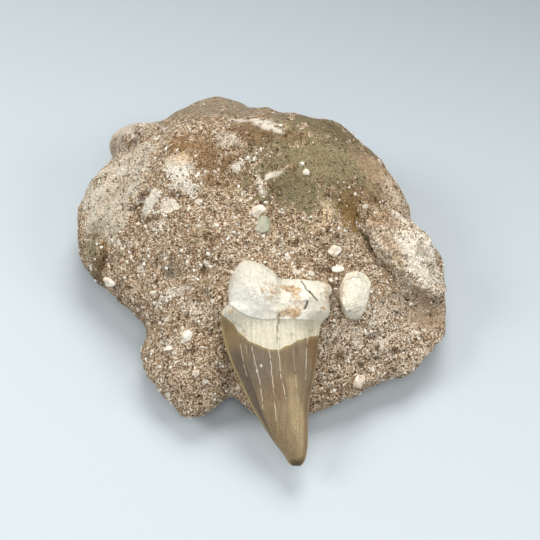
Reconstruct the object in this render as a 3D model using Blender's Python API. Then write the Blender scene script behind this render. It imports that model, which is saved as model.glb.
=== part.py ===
"""Fossil shark tooth lying on the piece of sandy rock that it was found in.

Sizes are in millimetres, and MM turns them into metres. The origin is the middle of the small
flat spot that the rock rests on. X runs to the right, Y to the back and Z up, and the tooth
points down the front slope, with its tip past the rock's front edge.
"""
import math

import bmesh
import bpy
import numpy as np
from mathutils import Matrix, Vector

MM = 0.001
GAP = 0.35
COLLECTION_NAME = "fossil_shark_tooth"

# The rock's top surface: a hump that is lower at both sides and falls away behind the crest
TOP_HEIGHT = 30.0
FRONT_SLOPE = 0.33
LENGTHWISE_BEND = 0.0018
CROSSWISE_BEND = 0.0044
CREST_Y = 33.0
BACK_BEND = 0.045
LEAST_RISE = 2.0

# The line where the rock is widest, going round from the right: x, y and height
ROCK_CENTRE = (-2.0, 4.0)
RIM = (
    (49.5, 4.4, 11.0),
    (46.6, 10.2, 11.5),
    (41.5, 14.3, 12.0),
    (38.7, 21.0, 13.0),
    (34.0, 29.0, 14.0),
    (25.6, 37.6, 16.0),
    (18.9, 45.2, 17.0),
    (5.4, 46.4, 18.0),
    (-10.4, 56.7, 19.0),
    (-20.0, 58.6, 19.0),
    (-28.4, 54.2, 17.0),
    (-32.2, 48.0, 16.0),
    (-38.6, 46.9, 15.0),
    (-44.9, 45.4, 15.0),
    (-47.7, 41.4, 14.5),
    (-46.3, 36.2, 14.0),
    (-50.7, 30.9, 13.0),
    (-55.9, 21.5, 12.0),
    (-55.8, 12.8, 11.0),
    (-53.3, 1.9, 10.0),
    (-44.2, -6.0, 9.5),
    (-35.8, -13.3, 9.0),
    (-35.3, -18.5, 8.5),
    (-37.2, -25.2, 8.0),
    (-30.7, -34.2, 7.5),
    (-23.4, -41.4, 7.0),
    (-16.8, -40.5, 7.0),
    (-11.4, -36.7, 7.0),
    (0.0, -43.2, 7.0),
    (12.9, -40.8, 7.0),
    (20.4, -38.0, 7.5),
    (30.9, -32.9, 8.0),
    (41.1, -28.7, 8.5),
    (47.9, -20.6, 9.0),
    (49.8, -8.0, 9.5),
)
SIDE_ROUNDNESS = 3.6
BASE_SHARE = 0.52
TOP_POLAR_SHARE = 0.62
SIDE_POLAR_SHARE = 0.5
ROCK_SEGMENTS = 92
ROCK_RINGS = 26
FLAT_ANGLE = math.radians(0.5)

# Forms on the top surface: x, y, half length, half width, turn in degrees, rise and squareness
ROCK_FORMS = {
    "smooth dome": (15.0, 24.0, 17.0, 16.0, 0.0, 4.0, 1.6),
    "corner knob": (-40.8, 40.6, 5.4, 5.2, 20.0, 4.6, 1.2),
    "knob groove": (-38.5, 35.5, 11.0, 2.2, 24.0, -3.6, 1.0),
    "left shoulder": (-30.0, 24.0, 12.0, 10.0, 60.0, 2.0, 1.0),
    "chalk patch": (-25.0, 20.0, 5.5, 4.5, -20.0, 1.2, 1.0),
    "pitted hollow": (-9.0, 20.0, 10.0, 7.0, 15.0, -2.6, 1.2),
    "beige lump": (16.5, 4.0, 4.6, 5.0, 10.0, 2.2, 1.2),
    "ochre hollow": (22.5, 8.0, 4.0, 5.0, 30.0, -1.6, 1.0),
    "crest debris": (1.0, 38.0, 6.0, 3.0, -10.0, 1.4, 1.0),
    "tooth ridge": (-24.0, -13.0, 12.0, 3.0, -14.0, 1.8, 1.0),
    "left dell": (-33.0, 0.0, 10.0, 8.0, 30.0, -1.8, 1.0),
    "front lobe": (-23.0, -33.0, 9.0, 8.0, 60.0, 2.4, 1.2),
    "side notch": (-33.0, -18.0, 6.0, 3.0, 10.0, -2.6, 1.0),
    "front notch": (-10.5, -35.5, 3.5, 5.5, 0.0, -3.4, 1.0),
    "right shoulder": (28.0, -22.0, 9.0, 8.0, 20.0, 1.6, 1.0),
    "ledge drop": (43.0, -14.0, 9.0, 3.4, 10.0, -3.2, 1.2),
    "brown pit": (-46.0, 1.0, 3.6, 3.0, 40.0, -2.4, 1.0),
    "lump crack": (27.0, 4.0, 13.0, 2.2, -52.0, -2.4, 1.0),
}

# Layers of unevenness: seed, cell size and depth
ROCK_NOISE = ((11, 13.0, 1.3), (12, 6.5, 0.9), (13, 3.4, 0.45))
NOISE_CELLS = 40
FADE_HEIGHT = 6.0
HEART_HEIGHT = 10.0

# The tooth's own plane, through its two cutting edges, lies along the front slope
TOOTH_PLACE = (2.0, -20.0, 23.5)
TOOTH_SLOPE = 22.5
# Across the tooth at each distance down from the root's lower border: left edge, right edge,
# thickness above the plane and thickness below it
TOOTH_STATIONS = (
    (-15.8, -9.2, -7.2, 0.8, 0.6),
    (-15.2, -10.2, -5.4, 2.8, 1.4),
    (-14.2, -11.0, -3.2, 4.6, 2.1),
    (-12.6, -12.0, -1.0, 6.0, 2.7),
    (-10.7, -12.9, 1.0, 6.7, 3.0),
    (-10.3, -13.0, 8.2, 6.8, 3.0),
    (-9.5, -13.2, 13.4, 6.9, 3.1),
    (-8.5, -13.4, 14.8, 7.0, 3.2),
    (-7.0, -13.5, 15.0, 7.0, 3.2),
    (-5.6, -13.4, 14.3, 6.9, 3.2),
    (-4.0, -13.3, 14.3, 6.6, 3.1),
    (-2.7, -14.5, 14.4, 6.3, 3.0),
    (-1.4, -15.4, 14.5, 6.0, 2.9),
    (-0.4, -15.6, 13.8, 5.6, 2.7),
    (1.0, -15.6, 12.6, 5.1, 2.5),
    (2.6, -15.4, 11.7, 4.9, 2.2),
    (6.5, -14.6, 11.3, 4.9, 1.9),
    (11.6, -12.9, 10.8, 4.6, 1.7),
    (17.0, -10.5, 9.9, 4.2, 1.5),
    (22.5, -8.0, 8.8, 3.7, 1.3),
    (28.0, -4.8, 8.3, 3.1, 1.1),
    (33.3, -1.4, 8.3, 2.4, 0.9),
    (37.6, 1.9, 7.8, 1.7, 0.6),
    (39.6, 3.2, 7.0, 1.2, 0.4),
    (40.3, 4.0, 6.2, 0.6, 0.2),
)
ROOT_END, CROWN_START = -1.0, 4.0
ROOT_FORMS = {
    "left lobe": (-5.5, -7.5, 7.5, 5.5, 35.0, 1.6, 1.2),
    "valley": (5.5, -4.5, 2.6, 5.0, -20.0, -1.6, 1.0),
    "notch": (3.6, -10.4, 1.8, 2.6, 0.0, -2.4, 1.0),
}
# The right lobe's upper edge: where it starts across and down, how far down the lobe rises from
# there, and the share of its thickness that is missing at the edge
LOBE_EDGE = (0.5, -10.8, 7.0)
LOBE_DROP = 0.55
# How far in from its edges the root is rounded, and the power of that rounding
ROOT_REACH, ROOT_POWER = 7.5, 2.6
ROOT_ROWS = 7
TOOTH_ROWS = 23
TOOTH_SEGMENTS = 28

# Pieces set in the rock: x, y, height above its surface, half sizes, turn in degrees, squareness,
# depth of unevenness and subdivisions
PEBBLES = {
    "root_lobe_tip": (23.2, -13.2, 1.0, (4.5, 6.6, 3.3), -10.0, 3.4, 0.7, 3),
    "chalk_lump": (38.8, 1.2, -0.2, (16.2, 7.3, 3.9), -40.0, 2.8, 1.3, 3),
    "bone_pebble": (17.7, -2.1, 0.4, (2.3, 1.6, 1.3), 0.0, 2.8, 0.4, 2),
    "bone_chip": (18.8, -6.4, 0.3, (1.8, 1.1, 0.9), 10.0, 2.8, 0.3, 2),
    "white_chip": (-3.2, 8.8, 0.2, (2.1, 1.8, 1.1), 15.0, 3.0, 0.4, 2),
    "green_crystal": (-2.2, 4.4, 0.1, (2.0, 2.9, 1.2), -14.0, 3.0, 0.4, 2),
    "shell_disc": (10.0, 17.8, 0.1, (0.9, 1.0, 0.5), 0.0, 2.6, 0.2, 2),
    "left_sliver": (-32.5, -9.8, 0.2, (1.6, 0.9, 0.7), 5.0, 2.8, 0.3, 2),
    "pink_pebble": (-45.9, -3.6, -0.2, (2.0, 1.3, 1.0), -30.0, 2.8, 0.3, 2),
    "white_blob": (-22.9, -23.2, 0.0, (1.5, 1.7, 0.9), 20.0, 2.8, 0.5, 2),
    "front_sliver": (-28.2, -25.8, 0.2, (1.7, 0.8, 0.7), 8.0, 2.8, 0.3, 2),
    "front_chip": (-20.3, -33.5, 0.2, (1.0, 1.1, 0.7), 0.0, 3.0, 0.3, 2),
    "edge_pebble": (24.7, -33.6, -0.3, (1.6, 1.6, 1.1), 0.0, 2.8, 0.4, 2),
}
# Facets: how many a piece has, and how near its middle they come, which is farther on some
FACET_COUNT, NEAREST_FACET, FARTHEST_FACET = 10, 0.66, 0.98
SOFT_FACETS = {"chalk_lump": 0.86, "root_lobe_tip": 0.86, "shell_disc": 0.97}
PEBBLE_CELL_SHARE = 0.8
FIRST_PEBBLE_SEED = 101
SLOPE_REACH = 1.5

# Finishes: base colour, roughness
FINISHES = {
    "sandy_matrix": ((0.25, 0.18, 0.11), 0.95),
    "tooth_enamel": ((0.33, 0.25, 0.17), 0.4),
    "fossil_root": ((0.74, 0.69, 0.58), 0.8),
    "chalky_clast": ((0.55, 0.48, 0.37), 0.95),
    "bone_and_shell": ((0.78, 0.72, 0.62), 0.8),
    "green_mineral": ((0.42, 0.42, 0.31), 0.6),
}
PIECE_FINISHES = {
    "matrix_rock": "sandy_matrix",
    "shark_tooth": "tooth_enamel",
    "root_lobe_tip": "fossil_root",
    "chalk_lump": "chalky_clast",
    "green_crystal": "green_mineral",
}
OTHER_FINISH = "bone_and_shell"


def smooth_curve(knots, values, at):
    """Cubic pieces through the values that never swing past them.

    The slope at a knot is the harmonic mean of the slopes on its two sides, or level where
    those have opposite signs.
    """
    rises = np.diff(values, axis=0) / np.diff(knots)[:, None]
    before, after = rises[:-1], rises[1:]
    same_way = before * after > 0.0
    mean = 2.0 * before * after / np.where(same_way, before + after, 1.0)
    slopes = np.concatenate([rises[:1], np.where(same_way, mean, 0.0), rises[-1:]])
    low = np.clip(np.searchsorted(knots, at) - 1, 0, len(knots) - 2)
    step = (knots[low + 1] - knots[low])[:, None]
    part = (at - knots[low])[:, None] / step
    start = values[low] * (1.0 + 2.0 * part) + slopes[low] * step * part
    end = values[low + 1] * (3.0 - 2.0 * part) - slopes[low + 1] * step * (1.0 - part)
    return start * (1.0 - part) ** 2 + end * part**2


def smooth_step(value, low, high):
    """Nought below low, one above high, with a level start and end between them."""
    part = np.clip((value - low) / (high - low), 0.0, 1.0)
    return part * part * (3.0 - 2.0 * part)


def noise(points, seed, cell):
    """Value noise from -1 to 1: random numbers on a cubic lattice, blended between its corners."""
    lattice = np.random.default_rng(seed).uniform(-1.0, 1.0, (NOISE_CELLS,) * 3)
    scaled = points / cell + 0.5 * NOISE_CELLS
    corner = np.floor(scaled).astype(int)
    part = scaled - corner
    part = part * part * (3.0 - 2.0 * part)
    total = np.zeros(len(points))
    for offset in np.ndindex(2, 2, 2):
        share = np.prod(np.where(offset, part, 1.0 - part), axis=1)
        index = (corner + offset) % NOISE_CELLS
        total += share * lattice[index[:, 0], index[:, 1], index[:, 2]]
    return total


def forms_height(forms, x, y):
    """Sum of round or oval forms, each a bell whose squareness above 1 gives it a flatter top."""
    height = np.zeros_like(x)
    for middle_x, middle_y, half_long, half_wide, turn, rise, squareness in forms.values():
        angle = math.radians(turn)
        from_x, from_y = x - middle_x, y - middle_y
        long = (from_x * math.cos(angle) + from_y * math.sin(angle)) / half_long
        wide = (from_y * math.cos(angle) - from_x * math.sin(angle)) / half_wide
        height += rise * np.exp(-((long**2 + wide**2) ** squareness))
    return height


def rim_at(turn):
    """Radius and height of the rim at each angle about the rock's centre."""
    rim = np.array(RIM)
    from_x, from_y = rim[:, 0] - ROCK_CENTRE[0], rim[:, 1] - ROCK_CENTRE[1]
    knots = np.arctan2(from_y, from_x)
    order = np.argsort(knots)
    knots = knots[order]
    values = np.stack([np.hypot(from_x, from_y), rim[:, 2]], axis=1)[order]
    knots = np.concatenate([knots[-2:] - math.tau, knots, knots[:2] + math.tau])
    values = np.concatenate([values[-2:], values, values[:2]])
    return smooth_curve(knots, values, turn).T


def top_height(x, y):
    """Height of the rock above the plan.

    A hump with its forms, kept above the rim and rounded down to it by a superellipse of the
    distance from the rock's centre as a share of the rim's radius.
    """
    hump = TOP_HEIGHT + FRONT_SLOPE * y - LENGTHWISE_BEND * y**2 - CROSSWISE_BEND * x**2
    hump -= BACK_BEND * np.maximum(y - CREST_Y, 0.0) ** 2
    hump += forms_height(ROCK_FORMS, x, y)
    from_x, from_y = x - ROCK_CENTRE[0], y - ROCK_CENTRE[1]
    radius, rim_height = rim_at(np.arctan2(from_y, from_x))
    share = np.clip(np.hypot(from_x, from_y) / radius, 0.0, 1.0)
    lift = (1.0 - share**SIDE_ROUNDNESS) ** (1.0 / SIDE_ROUNDNESS)
    rise = hump - rim_height
    return rim_height + 0.5 * (rise + np.hypot(rise, LEAST_RISE)) * lift


def roughened(points):
    """Rock points moved outwards by noise that fades out towards the flat spot."""
    fade = smooth_step(points[:, 2], 0.0, FADE_HEIGHT)
    depth = sum(layer * noise(points, seed, cell) for seed, cell, layer in ROCK_NOISE)
    outward = points - np.array([*ROCK_CENTRE, HEART_HEIGHT])
    outward /= np.maximum(np.linalg.norm(outward, axis=1), 1.0)[:, None]
    return points + outward * (depth * fade)[:, None]


def rock_points(direction):
    """Rock surface points for unit directions from its middle.

    The polar angle from straight up runs over the top and down the side to the rim, then round
    the underside, a quarter ellipse, to the flat spot.
    """
    polar = np.arccos(np.clip(direction[:, 2], -1.0, 1.0)) / math.pi
    turn = np.arctan2(direction[:, 1], direction[:, 0])
    radius, rim_height = rim_at(turn)
    over = 0.5 * math.pi * np.clip(polar / TOP_POLAR_SHARE, 0.0, 1.0) ** (0.5 * SIDE_ROUNDNESS)
    under = np.clip((polar - TOP_POLAR_SHARE) / (1.0 - TOP_POLAR_SHARE), 0.0, 1.0)
    side = 0.5 * math.pi * np.clip(under / SIDE_POLAR_SHARE, 0.0, 1.0)
    flat = np.clip((under - SIDE_POLAR_SHARE) / (1.0 - SIDE_POLAR_SHARE), 0.0, 1.0)
    under_share = (BASE_SHARE + (1.0 - BASE_SHARE) * np.cos(side)) * (1.0 - flat)
    on_top = polar < TOP_POLAR_SHARE
    share = np.where(on_top, np.sin(over) ** (2.0 / SIDE_ROUNDNESS), under_share)
    x = ROCK_CENTRE[0] + share * radius * np.cos(turn)
    y = ROCK_CENTRE[1] + share * radius * np.sin(turn)
    z = np.where(on_top, top_height(x, y), rim_height * (1.0 - np.sin(side)))
    return roughened(np.stack([x, y, z], axis=1))


def rounded(share):
    """A quarter round: nought at the edge, steep at first and level from a share of one inwards."""
    return np.sqrt(1.0 - (1.0 - np.clip(share, 0.0, 1.0)) ** ROOT_POWER)


def tooth_points(down, around):
    """Tooth surface points in its own plane: x across, y up towards the root, z out of the rock.

    A section at each distance down is a closed ring between its left and right edges. The
    crown bulges as one less the squared distance from its middle, so its edges are sharp. The
    root rises from each edge in a rounded quarter.
    """
    stations = np.array(TOOTH_STATIONS)
    left, right, above, below = smooth_curve(stations[:, 0], stations[:, 1:], down).T
    crown = smooth_step(down, ROOT_END, CROWN_START)
    across = np.cos(around)
    x = 0.5 * (left + right) + 0.5 * (right - left) * across
    rounding = rounded((x - left) / ROOT_REACH) * rounded((right - x) / ROOT_REACH)
    bulge = rounding + (1.0 - across**2 - rounding) * crown
    edge_x, edge_down, edge_length = LOBE_EDGE
    missing = LOBE_DROP * (1.0 - smooth_step(down, edge_down, edge_down + edge_length))
    above = above + forms_height(ROOT_FORMS, x, down)
    above *= 1.0 - missing * smooth_step(x, edge_x - 1.0, edge_x + 1.0)
    z = np.where(np.sin(around) > 0.0, above, -below) * bulge
    return np.stack([x, -down, z], axis=1)


def new_object(name, collection, mesh, finish, matrix=None):
    """A smooth-shaded object of this mesh."""
    mesh.shade_smooth()
    mesh.materials.append(finish)
    obj = bpy.data.objects.new(name, mesh)
    collection.objects.link(obj)
    if matrix is not None:
        obj.matrix_world = matrix
    return obj


def shaped(bm, shape):
    """Moves each vertex of a unit sphere to where the shape, in millimetres, puts its direction."""
    direction = np.array([vertex.co.normalized() for vertex in bm.verts])
    for vertex, point in zip(bm.verts, shape(direction) * MM):
        vertex.co = point


def mesh_of(bm, name):
    mesh = bpy.data.meshes.new(name)
    bm.to_mesh(mesh)
    bm.free()
    return mesh


def matrix_rock(collection, finish):
    """The sandy rock: a sphere drawn out to the rim, the top surface and the flat spot."""
    bm = bmesh.new()
    bmesh.ops.create_uvsphere(bm, u_segments=ROCK_SEGMENTS, v_segments=ROCK_RINGS, radius=1.0)
    shaped(bm, rock_points)
    bmesh.ops.dissolve_limit(bm, angle_limit=FLAT_ANGLE, verts=bm.verts, edges=bm.edges)
    return new_object("matrix_rock", collection, mesh_of(bm, "matrix_rock"), finish)


def shark_tooth(collection, finish):
    """The tooth: a loft of unlike sections from the root to the tip, closed by a fan at each end."""
    ends = TOOTH_STATIONS[0][0], TOOTH_STATIONS[-1][0]
    edge_down = LOBE_EDGE[1]
    down = np.concatenate([
        np.linspace(ends[0], edge_down, ROOT_ROWS, endpoint=False),
        edge_down + (ends[1] - edge_down) * np.linspace(0.0, 1.0, TOOTH_ROWS) ** 1.15,
    ])
    around = math.tau * np.arange(TOOTH_SEGMENTS) / TOOTH_SEGMENTS
    grid_down, grid_around = np.meshgrid(down, around, indexing="ij")
    rings = tooth_points(grid_down.ravel(), grid_around.ravel())
    poles = rings.reshape(len(down), TOOTH_SEGMENTS, 3)[[0, -1]].mean(axis=1)
    faces = []
    for segment in range(TOOTH_SEGMENTS):
        after = (segment + 1) % TOOTH_SEGMENTS
        for row in range(len(down) - 1):
            low, high = row * TOOTH_SEGMENTS, (row + 1) * TOOTH_SEGMENTS
            faces.append((low + segment, low + after, high + after, high + segment))
        last = (len(down) - 1) * TOOTH_SEGMENTS
        faces.append((len(rings), after, segment))
        faces.append((len(rings) + 1, last + segment, last + after))
    mesh = bpy.data.meshes.new("shark_tooth")
    mesh.from_pydata((np.concatenate([rings, poles]) * MM).tolist(), [], faces)
    place = Matrix.Translation(Vector(TOOTH_PLACE) * MM)
    matrix = place @ Matrix.Rotation(math.radians(TOOTH_SLOPE), 4, "X")
    return new_object("shark_tooth", collection, mesh, finish, matrix)


def ground_at(x, y):
    """Height of the roughened rock surface above one place of the plan."""
    x, y = np.array([x]), np.array([y])
    return roughened(np.stack([x, y, top_height(x, y)], axis=1))[0, 2]


def resting_matrix(x, y, lift, turn):
    """Place and turn of a piece that lies in the rock's surface, with its Z along the slope's normal."""
    rise_x = ground_at(x + SLOPE_REACH, y) - ground_at(x - SLOPE_REACH, y)
    rise_y = ground_at(x, y + SLOPE_REACH) - ground_at(x, y - SLOPE_REACH)
    slope_x, slope_y = rise_x / (2.0 * SLOPE_REACH), rise_y / (2.0 * SLOPE_REACH)
    out = Vector((-slope_x, -slope_y, 1.0)).normalized()
    side = Vector((math.cos(math.radians(turn)), math.sin(math.radians(turn)), 0.0))
    side = (side - out * side.dot(out)).normalized()
    turned = Matrix((side, out.cross(side), out)).transposed().to_4x4()
    return Matrix.Translation(Vector((x, y, ground_at(x, y) + lift)) * MM) @ turned


def chipped(points, seed, nearest):
    """Points of a form about a unit size, cut back to flat facets that face random ways."""
    rng = np.random.default_rng(seed)
    facing = rng.normal(size=(3, FACET_COUNT))
    facing /= np.linalg.norm(facing, axis=0)
    depth = rng.uniform(nearest, FARTHEST_FACET, FACET_COUNT)
    kept = np.min(depth / np.maximum(points @ facing, depth), axis=1)
    return points * kept[:, None]


def pebble(name, collection, finish, seed):
    """A stone or a chip: a superellipsoid with facets, made uneven by noise."""
    x, y, lift, halves, turn, squareness, unevenness, subdivisions = PEBBLES[name]

    def uneven_ball(direction):
        length = np.sum(np.abs(direction) ** squareness, axis=1) ** (1.0 / squareness)
        points = direction / length[:, None]
        points = chipped(points, seed, SOFT_FACETS.get(name, NEAREST_FACET)) * np.array(halves)
        depth = unevenness * noise(points, seed, PEBBLE_CELL_SHARE * max(halves))
        return points + direction * depth[:, None]

    bm = bmesh.new()
    bmesh.ops.create_icosphere(bm, subdivisions=subdivisions, radius=1.0)
    shaped(bm, uneven_ball)
    matrix = resting_matrix(x, y, lift, turn)
    return new_object(name, collection, mesh_of(bm, name), finish, matrix)


def cut_pocket(rock, piece, cutters):
    """Cuts room for a piece from the rock: its own shape, pushed out by the gap."""
    cutter = bpy.data.objects.new(piece.name + "_cutter", piece.data)
    cutter.matrix_world = piece.matrix_world
    cutter.hide_render = True
    cutter.display_type = "WIRE"
    cutters.objects.link(cutter)
    swell = cutter.modifiers.new("swell", "DISPLACE")
    swell.strength = GAP * MM
    swell.mid_level = 0.0
    cut = rock.modifiers.new("pocket " + piece.name, "BOOLEAN")
    cut.operation = "DIFFERENCE"
    cut.solver = "EXACT"
    cut.object = cutter


def new_finish(name, colour, roughness):
    """A Principled material of one colour and roughness."""
    material = bpy.data.materials.new(name)
    material.use_nodes = True
    shader = material.node_tree.nodes["Principled BSDF"]
    shader.inputs["Base Color"].default_value = (*colour, 1.0)
    shader.inputs["Roughness"].default_value = roughness
    shader.inputs["Metallic"].default_value = 0.0
    return material


def new_collection(name):
    collection = bpy.data.collections.new(name)
    bpy.context.scene.collection.children.link(collection)
    return collection


def main():
    for old in list(bpy.data.objects):
        bpy.data.objects.remove(old)
    collection = new_collection(COLLECTION_NAME)
    cutters = new_collection("cutters")
    finishes = {name: new_finish(name, *values) for name, values in FINISHES.items()}
    rock = matrix_rock(collection, finishes[PIECE_FINISHES["matrix_rock"]])
    pieces = [shark_tooth(collection, finishes[PIECE_FINISHES["shark_tooth"]])]
    for seed, name in enumerate(PEBBLES, start=FIRST_PEBBLE_SEED):
        finish = finishes[PIECE_FINISHES.get(name, OTHER_FINISH)]
        pieces.append(pebble(name, collection, finish, seed))
    for piece in pieces:
        cut_pocket(rock, piece, cutters)


main()
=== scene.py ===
"""Looks for a fossil shark tooth that lies on the sandy rock it was found in.

The shapes are surfaces worked out as whole arrays, in millimetres, which MM turns into metres.
X runs to the right, Y to the back and Z up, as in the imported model.
"""

import itertools
import math

import bpy
import numpy as np
from bpy.props import FloatProperty, FloatVectorProperty, IntProperty, PointerProperty
from mathutils import Matrix, Vector


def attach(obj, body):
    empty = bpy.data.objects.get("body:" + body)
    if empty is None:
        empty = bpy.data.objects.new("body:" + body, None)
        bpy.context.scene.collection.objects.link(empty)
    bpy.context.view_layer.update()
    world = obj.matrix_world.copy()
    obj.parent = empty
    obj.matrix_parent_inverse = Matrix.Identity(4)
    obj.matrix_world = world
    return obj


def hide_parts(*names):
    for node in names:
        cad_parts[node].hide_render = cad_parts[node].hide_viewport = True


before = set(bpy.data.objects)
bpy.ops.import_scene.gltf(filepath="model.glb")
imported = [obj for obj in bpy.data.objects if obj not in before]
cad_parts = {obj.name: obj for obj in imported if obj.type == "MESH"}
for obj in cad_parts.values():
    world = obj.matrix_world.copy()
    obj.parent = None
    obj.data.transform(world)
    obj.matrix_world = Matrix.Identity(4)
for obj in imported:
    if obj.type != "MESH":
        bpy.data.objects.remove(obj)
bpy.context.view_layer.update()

bl_info = {
    "name": "Fossil tooth looks",
    "version": (1, 0, 0),
    "blender": (4, 5, 0),
    "location": "3D View > Sidebar > Fossil",
    "description": "Builds a fossil shark tooth in its rock, with its finishes and a plain stage",
    "category": "Add Mesh",
}

MM = 0.001
BODY = "root"

# The rock's top surface: a hump that is lower at both sides and falls away behind the crest
TOP_HEIGHT = 30.0
FRONT_SLOPE = 0.33
LENGTHWISE_BEND = 0.0018
CROSSWISE_BEND = 0.0044
CREST_Y = 33.0
BACK_BEND = 0.045
LEAST_RISE = 2.0

# The line where the rock is widest, going round it from the right: x, y and height
ROCK_CENTRE = (-2.0, 4.0)
RIM = (
    (49.5, 4.4, 11.0), (46.6, 10.2, 11.5), (41.5, 14.3, 12.0), (38.7, 21.0, 13.0),
    (34.0, 29.0, 14.0), (25.6, 37.6, 16.0), (18.9, 45.2, 17.0), (5.4, 46.4, 18.0),
    (-10.4, 56.7, 19.0), (-20.0, 58.6, 19.0), (-28.4, 54.2, 17.0), (-32.2, 48.0, 16.0),
    (-38.6, 46.9, 15.0), (-44.9, 45.4, 15.0), (-47.7, 41.4, 14.5), (-46.3, 36.2, 14.0),
    (-50.7, 30.9, 13.0), (-55.9, 21.5, 12.0), (-55.8, 12.8, 11.0), (-53.3, 1.9, 10.0),
    (-44.2, -6.0, 9.5), (-35.8, -13.3, 9.0), (-35.3, -18.5, 8.5), (-37.2, -25.2, 8.0),
    (-30.7, -34.2, 7.5), (-23.4, -41.4, 7.0), (-16.8, -40.5, 7.0), (-11.4, -36.7, 7.0),
    (0.0, -43.2, 7.0), (12.9, -40.8, 7.0), (20.4, -38.0, 7.5), (30.9, -32.9, 8.0),
    (41.1, -28.7, 8.5), (47.9, -20.6, 9.0), (49.8, -8.0, 9.5),
)
SIDE_ROUNDNESS = 3.6
BASE_SHARE = 0.52
TOP_RING = 0.78

# Forms on the top surface: x, y, half length, half width, turn in degrees, rise and squareness
ROCK_FORMS = {
    "smooth dome": (15.0, 24.0, 17.0, 16.0, 0.0, 4.0, 1.6),
    "corner knob": (-40.8, 40.6, 5.4, 5.2, 20.0, 4.6, 1.2),
    "knob groove": (-38.5, 35.5, 11.0, 2.2, 24.0, -3.6, 1.0),
    "left shoulder": (-30.0, 24.0, 12.0, 10.0, 60.0, 2.0, 1.0),
    "chalk patch": (-25.0, 20.0, 5.5, 4.5, -20.0, 1.2, 1.0),
    "pitted hollow": (-9.0, 20.0, 10.0, 7.0, 15.0, -2.6, 1.2),
    "beige lump": (16.5, 4.0, 4.6, 5.0, 10.0, 2.2, 1.2),
    "ochre hollow": (22.5, 8.0, 4.0, 5.0, 30.0, -1.6, 1.0),
    "crest debris": (1.0, 38.0, 6.0, 3.0, -10.0, 1.4, 1.0),
    "tooth ridge": (-24.0, -13.0, 12.0, 3.0, -14.0, 1.8, 1.0),
    "left dell": (-33.0, 0.0, 10.0, 8.0, 30.0, -1.8, 1.0),
    "front lobe": (-23.0, -33.0, 9.0, 8.0, 60.0, 2.4, 1.2),
    "side notch": (-33.0, -18.0, 6.0, 3.0, 10.0, -2.6, 1.0),
    "front notch": (-10.5, -35.5, 3.5, 5.5, 0.0, -3.4, 1.0),
    "right shoulder": (28.0, -22.0, 9.0, 8.0, 20.0, 1.6, 1.0),
    "ledge drop": (43.0, -14.0, 9.0, 3.4, 10.0, -3.2, 1.2),
    "brown pit": (-46.0, 1.0, 3.6, 3.0, 40.0, -2.4, 1.0),
    "lump crack": (27.0, 4.0, 13.0, 2.2, -52.0, -2.4, 1.0),
}

# Layers of unevenness: seed, cell size and depth. The fine ones go in and out along the normal
ROCK_NOISE = ((11, 13.0, 1.3), (12, 6.5, 0.9), (13, 3.4, 0.45))
FINE_NOISE = ((14, 2.3, 0.2), (15, 1.1, 0.14), (16, 0.75, 0.12))
NOISE_CELLS = 40
FADE_HEIGHT, FINE_FADE_HEIGHT = 6.0, 2.0
HEART_HEIGHT = 10.0

# Colours as they look on a screen, from 0 to 255
SHADES = {
    "sage": (137, 127, 96),
    "dun": (146, 134, 115),
    "pale dun": (208, 197, 178),
    "chalk": (234, 225, 210),
    "cream": (220, 206, 187),
    "rust": (152, 121, 88),
    "bronze": (152, 120, 84),
    "dark sage": (106, 96, 72),
    "ochre": (152, 120, 70),
    "amber": (142, 112, 66),
    "umber": (104, 78, 52),
    "moss": (104, 98, 70),
    "tan": (178, 152, 124),
    "blush": (214, 196, 174),
    "peach": (219, 194, 161),
    "brown": (130, 100, 70),
    "bone": (240, 232, 214),
}
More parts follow.
